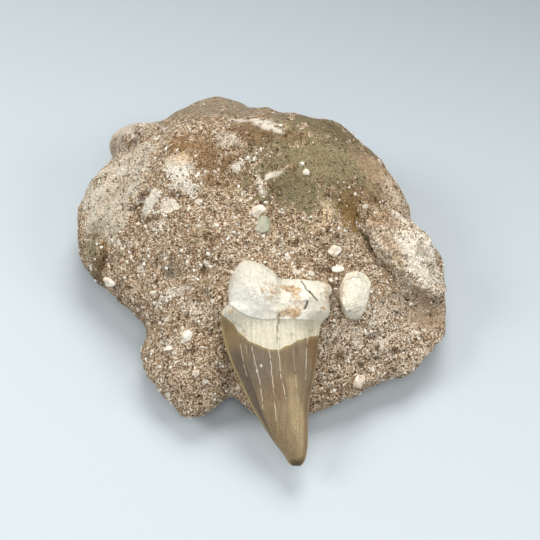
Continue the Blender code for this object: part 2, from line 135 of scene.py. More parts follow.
# Patches of colour on the rock, a few of them painted shade and some painted light, as marked: x, y, half
# length, half width, turn, shade, strength, calmness
STAINS = {
    "back band": (-10.0, 54.0, 42.0, 20.0, 0.0, "dun", 0.72, 0.75),
    "dome": (16.5, 22.5, 17.5, 14.5, 0.0, "sage", 0.85, 0.62),
    "dome's crown": (19.0, 34.0, 14.0, 5.0, -22.0, "dark sage", 0.68, 0.6),
    "dome's left": (1.5, 26.0, 9.0, 7.0, 20.0, "sage", 0.55, 0.25),
    "dome's foot": (3.0, 13.5, 7.0, 3.0, 0.0, "dark sage", 0.42, 0.2),
    "dome's front": (9.5, 11.6, 6.5, 2.4, 4.0, "sage", 0.6, 0.35),
    "dome's brown": (25.5, 13.5, 8.0, 2.4, 10.0, "rust", 0.45, 0.3),
    "pitted hollow": (-11.0, 17.5, 7.0, 5.0, 0.0, "sage", 0.28, 0.0),
    "flank": (-48.0, 17.0, 9.0, 14.0, 8.0, "pale dun", 0.72, 0.5),
    "flank's top": (-41.0, 28.5, 8.0, 4.5, 15.0, "cream", 0.85, 0.5),
    "flank's shoulder": (-37.0, 23.0, 4.5, 6.0, 20.0, "pale dun", 0.55, 0.3),
    "flank's white": (-50.6, 21.4, 3.2, 1.3, 35.0, "chalk", 0.5, 0.3),
    "flank's streak": (-45.6, 18.0, 4.6, 1.0, 42.0, "chalk", 0.45, 0.2),
    "flank's crumb": (-42.3, 26.1, 2.2, 1.3, 0.0, "chalk", 0.5, 0.2),
    "flank's edge": (-51.9, 13.2, 1.5, 3.4, -10.0, "chalk", 0.42, 0.2),
    "flank's brown": (-43.5, 20.0, 4.0, 1.1, 38.0, "tan", 0.42, 0.0),
    "knob": (-42.5, 42.0, 8.0, 7.0, 0.0, "cream", 0.85, 0.5),
    "rust": (-19.0, 26.5, 9.5, 5.2, 0.0, "rust", 0.6, 0.1),
    "rust spot": (-26.0, 28.7, 3.4, 2.6, 0.0, "bronze", 0.7, 0.3),
    "rust foot": (-15.0, 19.0, 4.5, 4.0, 0.0, "rust", 0.45, 0.0),
    "chalk": (-25.3, 20.2, 3.0, 3.6, -30.0, "chalk", 0.95, 0.6),
    "chalk's foot": (-22.6, 16.4, 3.4, 2.2, 0.0, "chalk", 0.9, 0.6),
    "chalk's top": (-27.6, 22.8, 2.2, 1.8, 0.0, "chalk", 0.85, 0.6),
    "chalk's peach": (-25.6, 24.2, 3.4, 1.8, 0.0, "peach", 0.6, 0.5),
    "left chalk": (-33.6, 13.4, 4.0, 2.6, -10.0, "chalk", 0.9, 0.6),
    "left chalk's end": (-28.6, 12.0, 2.8, 2.0, 0.0, "chalk", 0.85, 0.6),
    "left chalk's foot": (-31.0, 7.6, 2.0, 4.0, -25.0, "chalk", 0.6, 0.6),
    "crest brown": (-5.5, 31.5, 5.5, 3.0, -15.0, "brown", 0.6, 0.0),
    "crest brown's end": (5.0, 29.8, 6.0, 1.8, -10.0, "brown", 0.55, 0.0),
    "crest chalk": (-1.2, 34.4, 2.4, 1.3, -20.0, "chalk", 0.9, 0.6),
    "crest chalk's end": (1.8, 31.8, 2.2, 0.9, -30.0, "chalk", 0.85, 0.6),
    "crest white": (-7.0, 36.6, 4.6, 0.5, 4.0, "chalk", 0.6, 0.6),
    "crest crumbs": (-11.9, 29.7, 3.0, 2.0, -20.0, "cream", 0.8, 0.1),
    "hollow's crumb": (-9.0, 23.0, 1.6, 1.1, 20.0, "chalk", 0.9, 0.6),
    "hollow's white": (-4.2, 24.5, 1.5, 0.8, 0.0, "chalk", 0.9, 0.6),
    "hollow's streak": (-2.4, 16.8, 1.0, 2.4, 10.0, "chalk", 0.8, 0.6),
    "dome's streak": (0.6, 18.7, 2.8, 0.8, 8.0, "chalk", 0.9, 0.6),
    "ochre": (22.2, 9.0, 2.8, 4.0, 0.0, "ochre", 0.66, 0.4),
    "beige": (15.7, 8.0, 2.4, 2.6, 0.0, "peach", 0.65, 0.1),
    "beige's foot": (14.4, 2.8, 3.0, 2.6, 0.0, "peach", 0.4, 0.1),
    "left green": (-51.0, 7.5, 2.6, 5.0, 0.0, "sage", 0.7, 0.4),
    "left amber": (-47.7, 5.6, 1.6, 2.2, 0.0, "amber", 0.8, 0.2),
    "brown pit": (-48.0, 1.5, 2.6, 2.8, 0.0, "umber", 0.75, 0.1),
    "middle green": (-20.5, 1.5, 4.5, 2.6, 0.0, "sage", 0.45, 0.1),
    "ridge": (-20.5, -15.4, 8.6, 2.8, -30.0, "cream", 0.55, 0.3),
    "ridge's start": (-27.0, -9.7, 4.0, 2.0, -20.0, "pale dun", 0.5, 0.2),
    "ridge's grey": (-18.0, -11.4, 3.6, 2.2, 0.0, "dun", 0.6, 0.3),
    "ridge's end": (-29.0, -11.9, 2.4, 1.2, 20.0, "chalk", 0.8, 0.6),
    "dell's pale": (-27.0, -4.9, 3.6, 2.4, 0.0, "dun", 0.6, 0.2),
    # Painted light: broad pale cream that lifts the front and right slopes, which the lamps leave darker;
    # on the right it is also the sand's own paler colour
    "right side's pale sand and painted light": (31.0, -20.0, 20.0, 15.0, 0.0, "cream", 0.48, 0.0),
    "right end's pale sand and painted light": (46.0, -10.0, 8.0, 12.0, 0.0, "cream", 0.34, 0.0),
    "front side's painted light": (-25.0, -30.0, 12.0, 12.0, 0.0, "cream", 0.36, 0.0),
    "knob's left": (-45.6, 39.0, 1.4, 2.6, 0.0, "umber", 0.36, 0.1),
    "right brown": (30.0, 24.0, 4.4, 7.0, 35.0, "tan", 0.8, 0.6),
    "right pale": (35.5, 18.0, 2.4, 5.5, 35.0, "blush", 0.7, 0.6),
    "front pale": (20.7, -22.3, 4.4, 1.5, -15.0, "blush", 0.75, 0.2),
    "front pale's foot": (18.2, -26.0, 2.8, 0.9, -25.0, "blush", 0.85, 0.2),
    "right blush": (30.6, -15.4, 2.0, 2.6, 10.0, "blush", 0.65, 0.2),
    # Painted shadow below the chalky lump's overhanging edge
    "painted shadow under the lump": (41.0, -9.6, 7.0, 1.1, 2.0, "umber", 0.4, 0.1),
    "right foot": (44.5, -14.6, 5.4, 3.6, 0.0, "rust", 0.6, 0.6),
    # Painted shade of a small hole, which has no relief of its own
    "small hole's painted shade": (19.3, -28.2, 1.2, 0.8, 0.0, "umber", 0.95, 0.0),
    "dark spot": (29.9, -25.2, 0.9, 0.8, 0.0, "umber", 0.9, 0.0),
    "lump's crease": (26.6, 4.6, 4.4, 0.6, -58.0, "moss", 0.85, 0.2),
    "lump's edge": (32.2, -1.0, 4.6, 0.5, -60.0, "moss", 0.8, 0.2),
    "side green": (-35.1, -19.0, 1.2, 2.6, 0.0, "sage", 0.85, 0.3),
    # Painted shade in the gap between the root and its broken lobe tip
    "painted shade in the lobe gap": (18.0, -10.0, 1.3, 7.5, -6.0, "umber", 0.4, 0.0),
}
STAIN_NOISE = ((21, 3.8, 0.4), (22, 1.8, 0.4), (24, 0.85, 0.32))
STAIN_SOFTNESS = 0.6

# The tooth's own plane, through its two cutting edges, lies along the front slope
TOOTH_PLACE = (2.0, -20.0, 23.5)
TOOTH_SLOPE = 22.5
# Across the tooth at each distance down from the root's lower border: left edge, right edge,
# thickness above the plane and thickness below it
TOOTH_STATIONS = (
    (-15.8, -9.2, -7.2, 0.8, 0.6),
    (-15.2, -10.2, -5.4, 2.8, 1.4),
    (-14.2, -11.0, -3.2, 4.6, 2.1),
    (-12.6, -12.0, -1.0, 6.0, 2.7),
    (-10.7, -12.9, 1.0, 6.7, 3.0),
    (-10.3, -13.0, 8.2, 6.8, 3.0),
    (-9.5, -13.2, 13.4, 6.9, 3.1),
    (-8.5, -13.4, 14.8, 7.0, 3.2),
    (-7.0, -13.5, 15.0, 7.0, 3.2),
    (-5.6, -13.4, 14.3, 6.9, 3.2),
    (-4.0, -13.3, 14.3, 6.6, 3.1),
    (-2.7, -14.5, 14.4, 6.3, 3.0),
    (-1.4, -15.4, 14.5, 6.0, 2.9),
    (-0.4, -15.6, 13.8, 5.6, 2.7),
    (1.0, -15.6, 12.6, 5.1, 2.5),
    (2.6, -15.4, 11.7, 4.9, 2.2),
    (6.5, -14.6, 11.3, 4.9, 1.9),
    (11.6, -12.9, 10.8, 4.6, 1.7),
    (17.0, -10.5, 9.9, 4.2, 1.5),
    (22.5, -8.0, 8.8, 3.7, 1.3),
    (28.0, -4.8, 8.3, 3.1, 1.1),
    (33.3, -1.4, 8.3, 2.4, 0.9),
    (37.6, 1.9, 7.8, 1.7, 0.6),
    (39.6, 3.2, 7.0, 1.2, 0.4),
    (40.3, 4.0, 6.2, 0.6, 0.2),
)
ROOT_END, CROWN_START = -1.0, 4.0
ROOT_FORMS = {
    "left lobe": (-5.5, -7.5, 7.5, 5.5, 35.0, 1.6, 1.2),
    "valley": (5.5, -4.5, 2.6, 5.0, -20.0, -1.6, 1.0),
    "notch": (3.6, -10.4, 1.8, 2.6, 0.0, -2.4, 1.0),
}
# The right lobe's upper edge: where it starts across and down, how far down the lobe rises from
# there, and the share of its thickness that is missing at the edge
LOBE_EDGE = (0.5, -10.8, 7.0)
LOBE_DROP = 0.55
# How far in from its edges the root is rounded, and the power of that rounding
ROOT_REACH, ROOT_POWER = 7.5, 2.6

# Lines across the tooth, as across and down: the root's lower border and the crown's upper edge
ROOT_BORDER = (
    (-15.6, -6.0), (-13.1, -3.4), (-11.2, -1.8), (-9.3, -0.4), (-7.4, 0.4), (-5.2, 0.8), (-2.0, 1.0),
    (6.1, 1.0), (13.4, 1.0),
)
CROWN_EDGE = (
    (-15.6, -1.4), (-13.4, 0.9), (-12.0, 1.9), (-10.7, 3.8), (-9.3, 5.2), (-7.4, 6.8), (-5.5, 7.6),
    (-3.4, 8.5), (-1.5, 9.0), (0.4, 9.0), (2.1, 8.2), (3.9, 7.4), (6.1, 6.3), (8.3, 5.5), (11.0, 4.8),
)
# Lengthwise cracks that show pale, as across and down, with how strong each is
PALE_CRACKS = {
    "far left": (((-10.1, 7.4), (-9.8, 9.2), (-9.3, 11.9), (-8.3, 16.0)), 0.7),
    "left": (((-8.9, 6.0), (-8.5, 7.9), (-8.2, 9.8)), 0.5),
    "left middle": (((-6.9, 8.4), (-5.8, 13.3), (-4.4, 19.5), (-3.9, 24.9)), 1.0),
    "middle": (((-2.4, 8.6), (-1.7, 13.3), (-0.9, 21.4), (-0.3, 28.1)), 1.0),
    "right middle": (((0.3, 9.0), (1.1, 16.8), (2.3, 22.2)), 1.0),
    "right": (((4.3, 8.0), (4.5, 11.9), (5.3, 20.0), (5.5, 22.7)), 0.45),
    "far right": (((8.4, 5.2), (8.0, 7.9), (7.7, 16.8)), 0.85),
}
PALE_DOTS = ((-4.4, 13.4, 0.28), (-5.5, 14.8, 0.24))
# Dark cracks and holes in the root, as across and down, with half width and depth
DARK_CRACKS = {
    "lobe": (((6.4, -9.6), (7.2, -8.7), (7.9, -7.2), (8.8, -6.4)), 0.17, 0.45),
    "lobe's end": (((8.7, -6.6), (9.4, -5.6), (10.6, -4.2)), 0.24, 0.6),
    "hole": (((7.3, -1.9), (7.6, -2.7), (8.1, -3.9)), 0.3, 0.6),
    "band": (((0.4, -0.6), (0.25, 0.6), (0.1, 4.2)), 0.26, 0.22),
    "band's end": (((0.1, 4.0), (0.2, 8.6)), 0.12, 0.16),
}
# Rust on the root: across, down, half length, half width, turn and strength
ROOT_STAINS = {
    "upper brown": (3.4, -7.4, 2.7, 1.1, 8.0, 0.8),
    "upper brown's foot": (4.8, -5.6, 1.9, 1.0, 20.0, 0.6),
    "lower orange": (3.4, -1.0, 2.8, 1.5, 0.0, 0.8),
    "middle orange": (5.4, -3.2, 2.4, 1.7, 30.0, 0.52),
    "left flush": (-1.8, -6.6, 3.4, 2.8, 0.0, 0.42),
    "left speck": (-1.4, -6.0, 0.5, 0.45, 0.0, 0.9),
    "border specks": (-12.3, -1.4, 1.0, 0.9, 0.0, 0.5),
    "edge speck": (12.4, -2.2, 0.8, 0.5, 20.0, 0.8),
    "lobe's end": (13.6, -6.0, 0.9, 4.0, 0.0, 0.5),
    "left edge": (-12.6, -8.5, 0.7, 4.5, 10.0, 0.4),
}

# Pieces set in the rock: x, y, height above its surface, half sizes, turn in degrees, squareness,
# depth of unevenness and subdivisions
PEBBLES = {
    "root_lobe_tip": (23.2, -13.2, 1.0, (4.5, 6.6, 3.3), -10.0, 3.4, 0.7, 3),
    "chalk_lump": (38.8, 1.2, -0.2, (16.2, 7.3, 3.9), -40.0, 2.8, 1.3, 3),
    "bone_pebble": (17.7, -2.1, 0.4, (2.3, 1.6, 1.3), 0.0, 2.8, 0.4, 2),
    "bone_chip": (18.8, -6.4, 0.3, (1.8, 1.1, 0.9), 10.0, 2.8, 0.3, 2),
    "white_chip": (-3.2, 8.8, 0.2, (2.1, 1.8, 1.1), 15.0, 3.0, 0.4, 2),
    "green_crystal": (-2.2, 4.4, 0.1, (2.0, 2.9, 1.2), -14.0, 3.0, 0.4, 2),
    "shell_disc": (10.0, 17.8, 0.1, (0.9, 1.0, 0.5), 0.0, 2.6, 0.2, 2),
    "left_sliver": (-32.5, -9.8, 0.2, (1.6, 0.9, 0.7), 5.0, 2.8, 0.3, 2),
    "pink_pebble": (-45.9, -3.6, -0.2, (2.0, 1.3, 1.0), -30.0, 2.8, 0.3, 2),
    "white_blob": (-22.9, -23.2, 0.0, (1.5, 1.7, 0.9), 20.0, 2.8, 0.5, 2),
    "front_sliver": (-28.2, -25.8, 0.2, (1.7, 0.8, 0.7), 8.0, 2.8, 0.3, 2),
    "front_chip": (-20.3, -33.5, 0.2, (1.0, 1.1, 0.7), 0.0, 3.0, 0.3, 2),
    "edge_pebble": (24.7, -33.6, -0.3, (1.6, 1.6, 1.1), 0.0, 2.8, 0.4, 2),
}
# Facets: how many a piece has, and how near its middle they come, which is farther on some
FACET_COUNT, NEAREST_FACET, FARTHEST_FACET = 10, 0.66, 0.98
SOFT_FACETS = {"chalk_lump": 0.86, "root_lobe_tip": 0.86, "shell_disc": 0.97}
PEBBLE_CELL_SHARE = 0.8
FIRST_PEBBLE_SEED = 101
SLOPE_REACH = 1.5

# Pits in the rock, and how far down a place is before painted shade darkens it
PIT_SEED, PIT_CELL, PIT_START, PIT_DEPTH = 23, 2.3, 0.42, 1.6
CALM_SHARE = 0.85
HOLLOW_SHADE_START, HOLLOW_SHADE_FULL = 0.12, 0.5

# The tooth's grid: the share of it on the front, how evenly that is spread, and where its rows come
# closest below the lobe's edge
FRONT_SHARE, TURN_EVENNESS, CLOSE_ROWS = 0.74, 0.2, (-0.2, 1.8)
# The tooth's fine relief and the noise of its streaks, which run lengthwise
RELIEF_FULL = 0.3
ZONE_SOFTNESS = 0.14
ZONE_WAVER = ((44, 1.3, 0.16), (45, 0.5, 0.1))
ROOT_LIP, ROOT_LIP_LENGTH = 0.3, 1.6
ENAMEL_STEP = 0.12
ROOT_NOISE = ((31, 4.0, 0.26), (32, 1.5, 0.14), (33, 0.7, 0.07))
STREAK_NOISE = ((34, 0.7, 0.02),)
STREAK_STRETCH = (1.0, 0.07, 1.0)
CROWN_STREAK_SHARE, ROOT_STREAK_LOSS = 0.4, 0.85
PALE_CRACK_DEPTH, PALE_CRACK_WIDTH = 0.05, 0.1
CRACK_WAVER = ((38, 1.4, 0.12), (39, 0.5, 0.06))
# A dark crack wavers more than a pale one, which is broken where a noise is low
DARK_CRACK_WAVER = 2.5
CRACK_BREAK_SEED, CRACK_BREAK_CELL, CRACK_BREAKS = 40, 0.9, (-0.75, -0.1)
CRACK_END, CRACK_SPACING = 0.4, 7.0
CLOUD_SEED, CLOUD_CELL = 35, 3.5
ROOT_STAIN_NOISE = ((36, 1.7, 0.5), (37, 0.8, 0.4), (43, 0.4, 0.35))
FACET_LINE = ((6.0, -11.6), (7.8, -10.7), (17.3, -6.9), (25.4, -4.2), (33.4, -0.7), (38.7, 2.9))
CROWN_LEAN = -10.0
# The crown's lower shade: where it starts and is full, and how far the clouds move that
TIP_BLEND, TIP_CLOUD = (14.0, 26.0), 2.0
# Tones of the crown: the middle across and down, half sizes across and down, shade and strength
CROWN_TONES = {
    "olive shoulder": ((-13.0, 4.5), (2.6, 5.0), (142, 118, 80), 0.8),
    "grey middle": ((-4.5, 13.5), (3.4, 6.5), (118, 106, 92), 0.7),
    "grey right": ((4.5, 12.0), (2.6, 5.0), (118, 98, 74), 0.6),
    "brown middle": ((0.4, 20.0), (2.8, 3.2), (122, 92, 66), 0.6),
    "brown right": ((9.8, 9.5), (1.6, 6.0), (120, 90, 52), 0.85),
    "highlight": ((5.4, 27.0), (1.7, 9.5), (178, 155, 117), 0.8),
    "upper highlight": ((5.2, 18.5), (1.3, 3.0), (164, 140, 106), 0.5),
    "tip": ((5.6, 40.4), (3.4, 1.7), (84, 68, 48), 0.95),
}
TONE_BLEND, TONE_CLOUD = (-0.5, 0.6), 0.25
# The dark strip inside the left edge: how it starts across and down, and how it thins inwards
FACET_SIDE, FACET_TOP, FACET_THIN = (-0.2, 0.25), (6.0, 12.0), (0.5, 2.5)
FACET_STRENGTH, FACET_LOSS = 0.95, 0.25
# The dark line inside the right edge: its distance from the edge, its width and its strength
DARK_LINE = (0.6, 0.6, 0.5)
# Thin pale enamel: at the left edge, which fades towards the tip, at the right one and at the top
LEFT_EDGE, LEFT_EDGE_STRENGTH = (-0.8, -0.4), 0.85
LEFT_EDGE_FADE, LEFT_EDGE_LOSS = (22.0, 36.0), 0.5
RIGHT_EDGE, RIGHT_EDGE_STRENGTH = (-0.5, -0.2), 0.35
TOP_EDGE_WIDTH, TOP_EDGE_STRENGTH = 0.7, 0.7
# Shades of the root and the band: the shade, the range that it grows over and its strength. The
# range is a distance to one side or upwards, but for the root's middle, where it is nearness
SIDE_TONES = {
    "band's right": ((204, 192, 160), (2.0, 13.0), 0.6),
    "band's left": ((208, 202, 184), (8.0, 12.0), 0.6),
    "root's right": ((226, 219, 200), (6.0, 11.0), 1.0),
    "root's middle": ((242, 233, 208), (0.0, 0.8), 0.6),
    # Painted shade: the root's top is darkened to tone down the light that falls on it
    "root's painted shade at the top": ((222, 216, 200), (5.5, 10.5), 0.9),
}
ROOT_MIDDLE, ROOT_MIDDLE_HALF, ROOT_MIDDLE_CLOUD = 1.0, 5.0, 0.3
ENAMEL_STREAKS, BAND_STREAKS = 0.08, 0.12
RUST_REACH, RUST_RAGGED, RUST_BLEND = 1.15, 0.6, (-0.3, 0.6)
# The line of shadow under the root's lip: how far below the border, its half width and its strength
BORDER_SHADE, BORDER_LINE, BORDER_SIDES = (176, 180, 174), (0.1, 0.2, 0.5), (-4.0, 4.0)
PALE_CRACK_SHADE, PALE_CRACK_STRENGTH = (232, 218, 194), 0.85
DARK_CRACK_SHADE, DARK_CRACK_STRENGTH = (74, 52, 34), 2.4
DOT_HEIGHT, DOT_EDGE = 0.7, 0.1

# Grids of the set pieces, which have more lines on those with stains, and their fine relief
LARGE_PEBBLE_LINES, SMALL_PEBBLE_LINES = 150, 36
POLE_ANGLE = 0.02
PEBBLE_NOISE = ((41, 3.0, 0.6), (42, 1.5, 0.4), (43, 0.8, 0.2))
FINE_SHARE = {"fossil_root": 0.25, "chalky_clast": 1.1, "bone_and_shell": 0.3, "green_mineral": 0.12}
PEBBLE_SLOTS = {
    "root_lobe_tip": "fossil_root",
    "chalk_lump": "chalky_clast",
    "green_crystal": "green_mineral",
}
CHIP_SLOT = "bone_and_shell"
# Sandy set pieces: grain size, share of specks, and dark, middle and light shade
SANDY_LOOKS = {
    "fossil_root": (0.4, 0.0, ((222, 212, 192), (240, 233, 216), (252, 248, 238))),
    "chalky_clast": (0.5, 0.1, ((132, 109, 82), (190, 174, 149), (242, 236, 224))),
}
# Chips: main shade, clouded shade and dark shade, share of specks, and depth of the grain
CHIP_LOOKS = {
    "bone_and_shell": ((244, 238, 226), (222, 206, 184), (168, 140, 112), 0.08, 0.1),
    "green_mineral": ((188, 188, 166), (166, 168, 146), (140, 136, 110), 0.05, 0.06),
}
# Patches of colour on the set pieces, as on the rock
PEBBLE_STAINS = {
    "chalk_lump": {
        "all over": (39.5, 0.8, 17.0, 10.0, -40.0, "cream", 0.36, 0.4),
        "right white": (45.0, 2.0, 3.4, 4.6, -20.0, "chalk", 0.75, 0.6),
        "left white": (38.0, 1.5, 2.6, 5.0, 25.0, "chalk", 0.7, 0.6),
        "front white": (43.5, -5.5, 4.0, 2.6, -20.0, "chalk", 0.6, 0.6),
        "sandy end": (31.0, 9.4, 5.4, 4.6, -40.0, "rust", 0.62, 0.1),
        "upper pale": (35.0, 11.0, 3.6, 1.4, -30.0, "chalk", 0.6, 0.3),
        "grey patch": (43.4, 0.6, 1.8, 1.2, 20.0, "dun", 0.6, 0.2),
        "left crease": (35.4, -2.2, 3.6, 0.6, -58.0, "sage", 0.65, 0.3),
        "sandy side": (33.6, 1.2, 4.6, 1.8, -55.0, "tan", 0.6, 0.1),
        "brown foot": (40.4, -9.6, 4.4, 1.3, -12.0, "rust", 0.5, 0.1),
    },
    "root_lobe_tip": {
        "worn middle": (23.2, -13.0, 5.0, 7.0, -10.0, "bone", 0.75, 0.85),
        "crack": (22.9, -9.9, 2.8, 0.2, -6.0, "umber", 0.75, 0.0),
        "brown side": (19.5, -13.0, 0.9, 5.0, -8.0, "tan", 0.6, 0.0),
    },
}

# Crumbs in the sandy finish: their size and their share of the cells of that size
COARSE_CRUMBS, SMALL_CRUMBS, CRUMB_SHADE = (2.1, 0.05), (0.75, 0.15), (242, 234, 220)
# Dark specks and holes in it, painted shade of the voids between grains: their sizes, and how many holes
# there are for each speck
SPECK_SIZE, HOLE_SIZE, HOLE_SHARE, ROCK_SPECKS = 1.15, 0.8, 0.55, 0.2
# Colours of the painted shade in the dark specks and pits, and in the holes
SPECK_PAINTED_SHADE, HOLE_PAINTED_SHADE = (86, 64, 42), (58, 42, 28)
COOL_HUE, WARM_HUE = (0.98, 1.0, 1.0, 1.0), (1.03, 0.99, 0.955, 1.0)
# The tooth's finish: rust, the root's crackle and its small pits
RUST_SHADES = ((156, 104, 56), (236, 202, 150))
CRACKLE_SHADE, CRACKLE_SCALE = (170, 154, 128), 0.62
ROOT_PIT_SHADE, ROOT_PITS = (150, 132, 104), (1.3, 0.09)

# Loose grains: slot, smallest and largest half size, flatness, how far sunk and two shades
FIRST_GRAIN_SEED = 51
GRAIN_LOWEST, GRAIN_OUTERMOST = 1.5, 0.97
GRAIN_WIDTHS, GRAIN_UNEVENNESS, GRAIN_TILT = (0.6, 1.0), (0.75, 1.2), 0.35
# The calmness past which no grain would lie, and the power by which grains thin out towards it and
# towards the largest size
BARE_CALM, THINNING = 1.05, 3
GRAINS = {
    "pale": ("bone_and_shell", (0.22, 0.8), 0.4, 0.4, ((226, 213, 193), (255, 251, 243))),
    "cream": ("bone_and_shell", (0.14, 0.3), 0.6, 0.4, ((186, 164, 134), (232, 216, 192))),
    "brown": ("sandy_matrix", (0.14, 0.3), 0.6, 0.4, ((82, 56, 36), (160, 132, 102))),
}

# The stage, in metres and watts, but for the range that the painted shade on its floor darkens over, in
# millimetres
AIM = (0.0, 0.0, 0.015)
FLOOR_SIZE = 3.0
FLOOR_PAINTED_SHADE_RANGE = (-120.0, 190.0)
NEAREST_SEEN = 0.02
LIGHTS = {
    "back_softbox": ((0.1, 0.48, 0.7), 0.5, 4.7, (1.0, 0.985, 0.955)),
    "left_softbox": ((-0.65, 0.05, 0.6), 0.4, 3.0, (1.0, 0.99, 0.97)),
    "right_softbox": ((0.75, -0.1, 0.6), 0.45, 2.5, (1.0, 0.985, 0.955)),
    "front_softbox": ((0.05, -0.4, 1.0), 0.7, 3.1, (1.0, 0.985, 0.955)),
}
WORLD_COLOUR = (0.93, 0.97, 1.0)
WORLD_STRENGTH = 0.27


def linear(shade):
    """A screen colour from 0 to 255 as the linear values that materials take."""
    part = np.array(shade) / 255.0
    return np.where(part <= 0.04045, part / 12.92, ((part + 0.055) / 1.055) ** 2.4)


def colour_property(name, description, shade):
    return FloatVectorProperty(
        name=name, description=description, subtype="COLOR", min=0.0, max=1.0, default=linear(shade)
    )


class RockLooks(bpy.types.PropertyGroup):
    """Fineness and colours of the sandy rock."""

    lines: IntProperty(
        name="Grid lines",
        description="Points along each side of the rock's grid",
        default=312,
        min=60,
        max=316,
    )
    relief: FloatProperty(
        name="Fine relief", description="Share of the fine unevenness", default=1.0, min=0.0, max=2.0
    )
    grain: FloatProperty(
        name="Grain size",
        description="Width of a sand grain",
        default=0.34 * MM,
        min=0.2 * MM,
        unit="LENGTH",
    )
    dark: colour_property("Dark sand", "Colour of the darkest grains", (84, 53, 31))
    middle: colour_property("Middle sand", "Colour of most grains", (173, 147, 115))
    light: colour_property("Light sand", "Colour of the lightest grains", (240, 223, 199))


class ToothLooks(bpy.types.PropertyGroup):
    """Fineness and colours of the tooth."""

    rows: IntProperty(
        name="Rows", description="Rings from the root to the tip", default=360, min=60, max=400
    )
    segments: IntProperty(
        name="Segments", description="Points around each ring", default=264, min=40, max=270
    )
    root: colour_property("Root", "Colour of the root", (246, 242, 229))
    band: colour_property("Band", "Colour of the band between root and crown", (221, 213, 191))
    crown: colour_property("Crown", "Colour of the upper crown", (127, 110, 84))
    tip: colour_property("Tip", "Colour of the lower crown", (141, 121, 90))
    facet: colour_property("Facet", "Colour of the strip inside the left edge", (99, 86, 73))
    edge: colour_property("Edge", "Colour of the cutting edges", (166, 146, 100))


class GrainLooks(bpy.types.PropertyGroup):
    """How many loose grains lie on the rock."""

    pale: IntProperty(name="Pale", description="How many large pale crumbs", default=2800, min=0)
    cream: IntProperty(name="Cream", description="How many small cream grains", default=2600, min=0)
    brown: IntProperty(name="Brown", description="How many small brown grains", default=2600, min=0)


class StageLooks(bpy.types.PropertyGroup):
    """The camera, the lights and the floor."""

    elevation: FloatProperty(
        name="Elevation",
        description="Camera's angle above the floor",
        default=math.radians(60.0),
        subtype="ANGLE",
    )
    distance: FloatProperty(
        name="Distance", description="From the camera to the rock", default=428.57 * MM, unit="LENGTH"
    )
    lens: FloatProperty(name="Lens", description="Focal length", default=100.0, min=10.0)
    floor: colour_property("Floor", "Colour of the floor at the front", (204, 213, 219))
    # The back floor's colour is painted shade, for the light falling off towards the back right
    floor_painted_shade: colour_property("Back floor", "Colour of the floor behind the rock", (120, 128, 134))


def smooth_curve(knots, values, at):
    """Cubic pieces through the values that never swing past them.

    The slope at a knot is the harmonic mean of the slopes on its two sides, or level where
    those have opposite signs.
    """
    rises = np.diff(values, axis=0) / np.diff(knots)[:, None]
    before, after = rises[:-1], rises[1:]
    same_way = before * after > 0.0
    mean = 2.0 * before * after / np.where(same_way, before + after, 1.0)
    slopes = np.concatenate([rises[:1], np.where(same_way, mean, 0.0), rises[-1:]])
    low = np.clip(np.searchsorted(knots, at) - 1, 0, len(knots) - 2)
    step = (knots[low + 1] - knots[low])[:, None]
    part = (at - knots[low])[:, None] / step
    start = values[low] * (1.0 + 2.0 * part) + slopes[low] * step * part
    end = values[low + 1] * (3.0 - 2.0 * part) - slopes[low + 1] * step * (1.0 - part)
    return start * (1.0 - part) ** 2 + end * part**2


def line_at(line, at):
    """Second coordinate of a smooth line at each first one, held level past the line's ends."""
    knots, values = np.array(line).T
    return smooth_curve(knots, values[:, None], np.clip(at, knots[0], knots[-1]))[:, 0]


def smooth_step(value, low, high):
    """Nought below low, one above high, with a level start and end between them."""
    part = np.clip((value - low) / (high - low), 0.0, 1.0)
    return part * part * (3.0 - 2.0 * part)


def noise(points, seed, cell):
    """Value noise from -1 to 1: random numbers on a cubic lattice, blended between its corners."""
    lattice = np.random.default_rng(seed).uniform(-1.0, 1.0, (NOISE_CELLS,) * 3)
    scaled = points / cell + 0.5 * NOISE_CELLS
    corner = np.floor(scaled).astype(int)
    part = scaled - corner
    part = part * part * (3.0 - 2.0 * part)
    total = np.zeros(len(points))
    for offset in np.ndindex(2, 2, 2):
        share = np.prod(np.where(offset, part, 1.0 - part), axis=1)
        index = (corner + offset) % NOISE_CELLS
        total += share * lattice[index[:, 0], index[:, 1], index[:, 2]]
    return total


def layered_noise(points, layers):
    """Sum of noise layers, each a seed, a cell size and a depth."""
    return sum(depth * noise(points, seed, cell) for seed, cell, depth in layers)


def turned_noise(points, layers):
    """Layered noise whose lattices are each turned another way, so that no straight edges line up."""
    total = 0.0
    for turn, (seed, cell, depth) in enumerate(layers, start=1):
        axes = np.array(Matrix.Rotation(turn, 3, Vector((1.0, 2.0 - turn, 1.0))))
        total = total + depth * noise(points @ axes, seed, cell)
    return total


def oval_radius(x, y, middle_x, middle_y, half_long, half_wide, turn):
    """Distance from the middle of a turned oval, which is 1 on its outline."""
    angle = math.radians(turn)
    from_x, from_y = x - middle_x, y - middle_y
    long = (from_x * math.cos(angle) + from_y * math.sin(angle)) / half_long
    wide = (from_y * math.cos(angle) - from_x * math.sin(angle)) / half_wide
    return np.hypot(long, wide)


def forms_height(forms, x, y):
    """Sum of round or oval forms, each a bell whose squareness above 1 gives it a flatter top."""
    height = np.zeros_like(x)
    for *oval, rise, squareness in forms.values():
        height += rise * np.exp(-(oval_radius(x, y, *oval) ** (2.0 * squareness)))
    return height


def rim_at(turn):
    """Radius and height of the rim at each angle about the rock's centre."""
    rim = np.array(RIM)
    from_x, from_y = rim[:, 0] - ROCK_CENTRE[0], rim[:, 1] - ROCK_CENTRE[1]
    knots = np.arctan2(from_y, from_x)
    order = np.argsort(knots)
    knots = knots[order]
    values = np.stack([np.hypot(from_x, from_y), rim[:, 2]], axis=1)[order]
    knots = np.concatenate([knots[-2:] - math.tau, knots, knots[:2] + math.tau])
    values = np.concatenate([values[-2:], values, values[:2]])
    return smooth_curve(knots, values, turn).T


